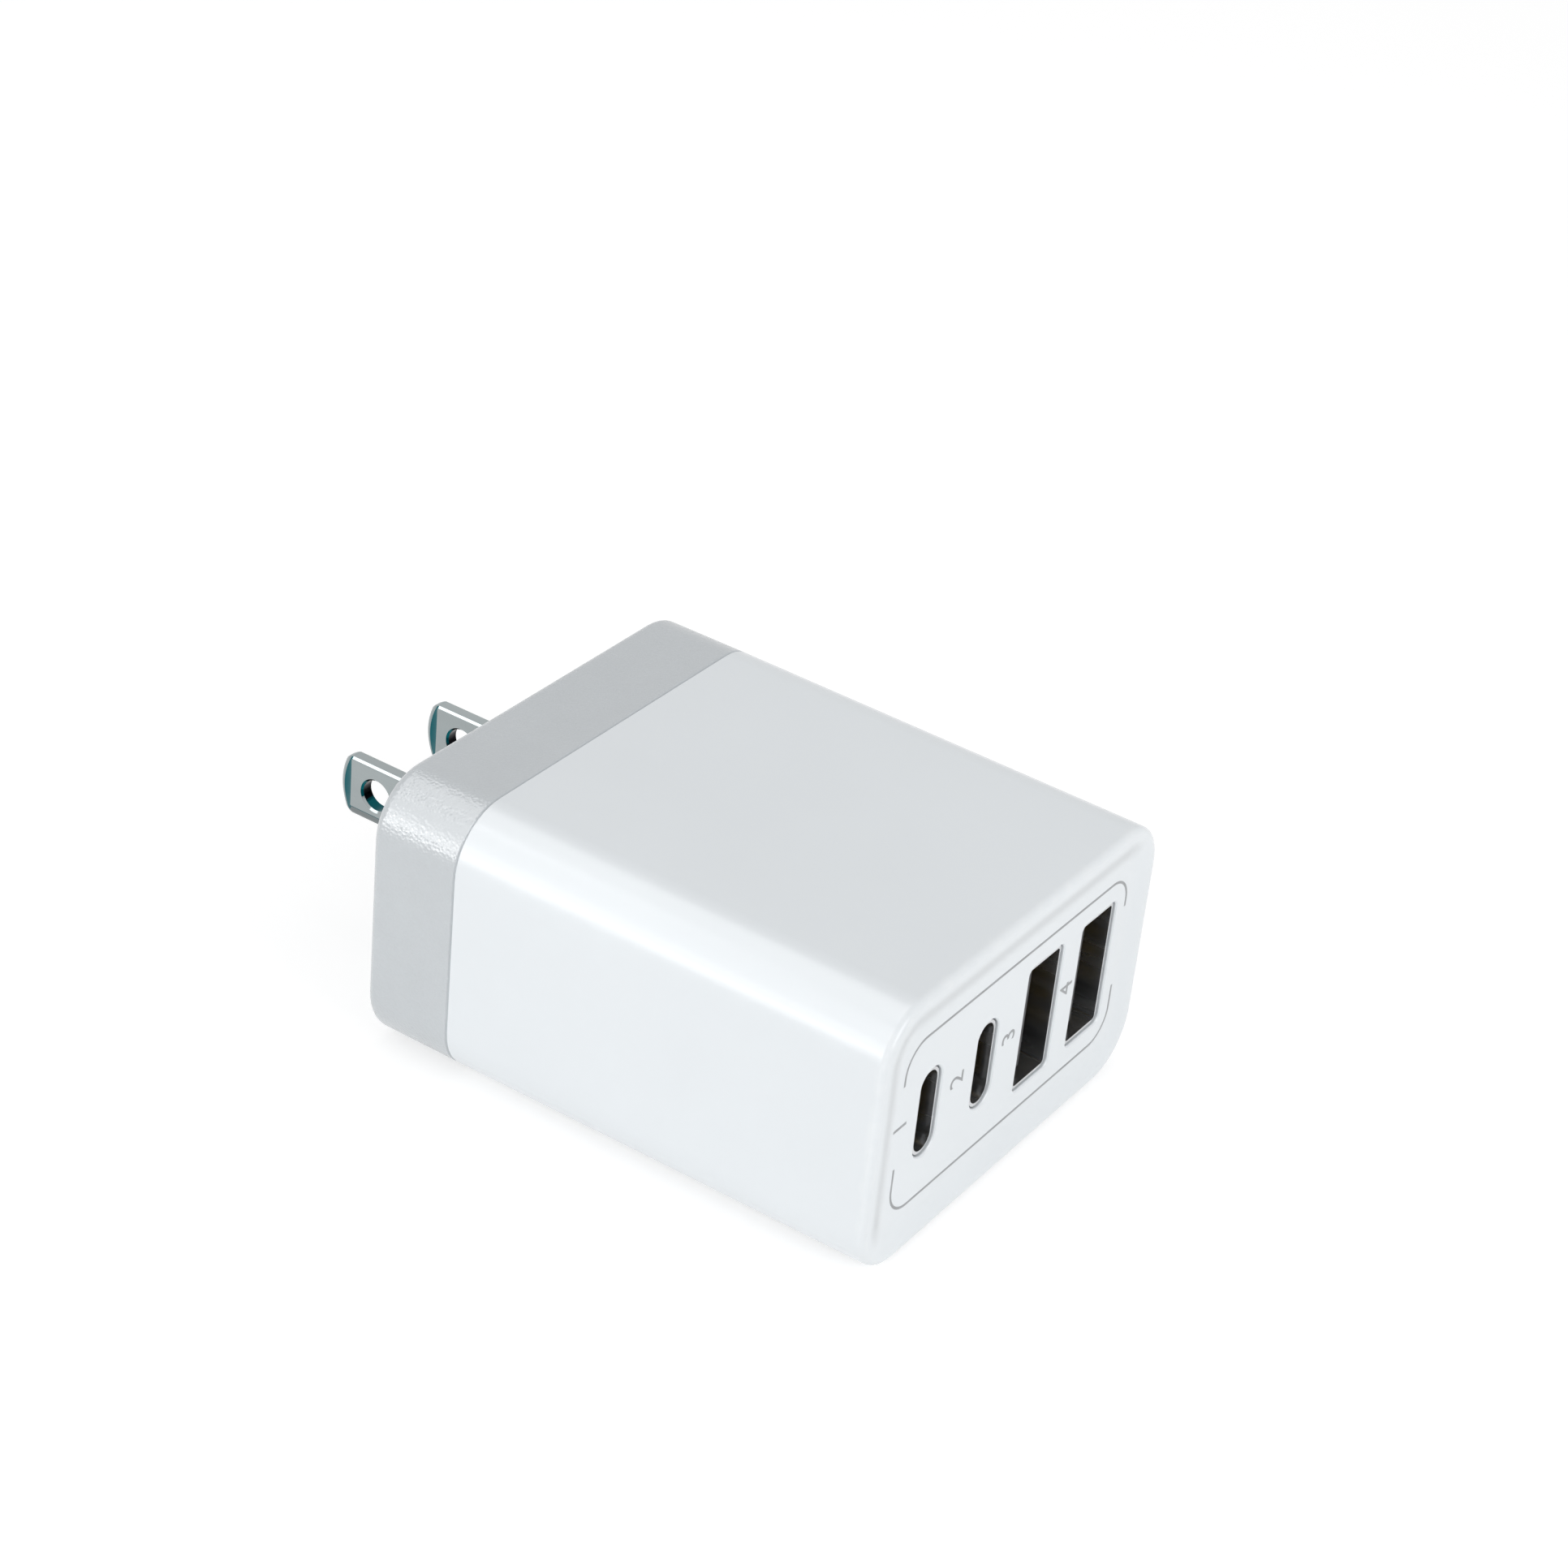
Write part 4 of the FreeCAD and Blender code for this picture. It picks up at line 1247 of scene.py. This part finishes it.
SOFTBOXES = (
    Softbox("left_strip", (-400.0, 195.0, 110.0), (320.0, 200.0), 0.58),
    Softbox("left_fill", (-460.0, -60.0, 60.0), (300.0, 300.0), 0.25, Reach.BODY),
    Softbox("front_softbox", (-60.0, -480.0, 180.0), (260.0, 260.0), 0.72),
    Softbox("overhead", (60.0, 40.0, 520.0), (360.0, 360.0), 0.2),
    Softbox("left_glint", (-404.0, 195.0, 95.0), (320.0, 30.0), 0.16, Reach.GLOSS),
    Softbox("upper_card", (-285.0, 190.0, 300.0), (320.0, 300.0), 0.56, Reach.GLOSS),
    Softbox("roof_card", (-30.0, 190.0, 425.0), (340.0, 260.0), 0.5, Reach.GLOSS),
)


@dataclass
class Studio:
    """Floor, soft light and camera."""

    floor_z: float = -14.01
    floor_size: float = 4000.0
    aim: Triple = (5.2, -24.7, 11.7)
    azimuth: float = -58.49
    elevation: float = 31.62
    roll: float = 6.065
    distance: float = 334.86
    lens: float = 85.0
    sensor: float = 36.0
    near_limit: float = 10.0
    world_colour: Colour = (1.0, 1.0, 1.0)
    world_strength: float = 0.62
    floor_colour: Colour = (0.9, 0.9, 0.9)
    floor_roughness: float = 0.9
    floor_specular: float = 0.1
    shadow_colour: Colour = (0.6, 0.6, 0.6)  # the seen floor is this, with the glow added to it
    floor_glow: float = 0.56

    def seen(self, nodes: NodeTree) -> Socket:
        """Tell what is seen, straight or by way of gloss or glass, from what lights.

        Args:
            nodes: The nodes to add to.

        Returns:
            1 for what is seen, 0 for what lights.
        """
        path = nodes.add("ShaderNodeLightPath").outputs
        mirrored = nodes.math("MAXIMUM", path["Is Glossy Ray"], path["Is Transmission Ray"])
        return nodes.math("MAXIMUM", path["Is Camera Ray"], mirrored)

    def build_floor(self) -> None:
        """Lay a plain pale floor under the charger, which looks white and keeps a soft shadow."""
        grid = bmesh.new()
        bmesh.ops.create_grid(grid, x_segments=2, y_segments=2, size=self.floor_size * MM / 2)
        bmesh.ops.translate(grid, vec=(0.0, 0.0, self.floor_z * MM), verts=grid.verts)
        mesh = bpy.data.meshes.new("floor")
        grid.to_mesh(mesh)
        grid.free()
        floor = linked("floor", mesh)
        paper = bpy.data.materials.new("pale_paper")
        paper.use_nodes = True
        nodes = NodeTree(paper.node_tree)
        surface = paper.node_tree.nodes["Principled BSDF"]
        nodes.give(surface, Base_Color=(*self.floor_colour, 1.0))
        nodes.give(surface, Roughness=self.floor_roughness, Specular_IOR_Level=self.floor_specular)
        shadowed = nodes.add("ShaderNodeBsdfDiffuse")
        nodes.give(shadowed, Color=(*self.shadow_colour, 1.0))
        glow = nodes.add("ShaderNodeEmission")
        nodes.give(glow, Strength=self.floor_glow)
        white = nodes.add("ShaderNodeAddShader")
        nodes.join(shadowed.outputs["BSDF"], white.inputs[0])
        nodes.join(glow.outputs["Emission"], white.inputs[1])
        chosen = nodes.add("ShaderNodeMixShader")
        nodes.join(self.seen(nodes), chosen.inputs["Fac"])
        nodes.join(surface.outputs["BSDF"], chosen.inputs[1])
        nodes.join(white.outputs["Shader"], chosen.inputs[2])
        nodes.join(chosen.outputs["Shader"], paper.node_tree.nodes["Material Output"].inputs["Surface"])
        mesh.materials.append(paper)

    def build_lights(self) -> None:
        """Set the pale surroundings and hang the soft lights."""
        world = bpy.data.worlds.new("studio")
        world.use_nodes = True
        nodes = NodeTree(world.node_tree)
        background = world.node_tree.nodes["Background"]
        nodes.give(background, Color=(*self.world_colour, 1.0))
        strength = nodes.remap(self.seen(nodes), FULL, (self.world_strength, 1.0))
        nodes.join(strength, background.inputs["Strength"])
        bpy.context.scene.world = world
        for softbox in SOFTBOXES:
            softbox.hang()

    def build_camera(self) -> None:
        """Set the camera at the photograph's viewing angle."""
        lens = bpy.data.cameras.new("camera")
        lens.lens = self.lens
        lens.sensor_width = self.sensor
        lens.clip_start = self.near_limit * MM
        camera = linked("camera", lens)
        round_z, up = math.radians(self.azimuth), math.radians(self.elevation)
        right = Vector((math.cos(round_z), math.sin(round_z), 0.0))
        back = Vector((math.sin(round_z) * math.cos(up), -math.cos(round_z) * math.cos(up), math.sin(up)))
        level = Matrix((right, back.cross(right), back)).transposed()
        turned = level @ Matrix.Rotation(math.radians(self.roll), 3, "Z")
        place = (Vector(self.aim) + back * self.distance) * MM
        camera.matrix_world = Matrix.Translation(place) @ turned.to_4x4()
        bpy.context.scene.camera = camera

    def build(self) -> None:
        """Set up the whole stage."""
        self.build_floor()
        self.build_lights()
        self.build_camera()
        bpy.context.scene.view_settings.view_transform = "Standard"


def main() -> None:
    """Build and dress the charger, then the stage round it."""
    logging.basicConfig(level=logging.INFO, format="%(message)s")
    palette = Palette(FINISHES)
    Insides().dress(palette)
    housing, blades, ports = Housing(), Blades(), Ports()
    housing.dress(palette, ports.apertures(), blades.slots())
    blades.dress(palette)
    FacePrint(housing.face_y).dress(palette)
    Studio().build()


if __name__ == "__main__":
    main()
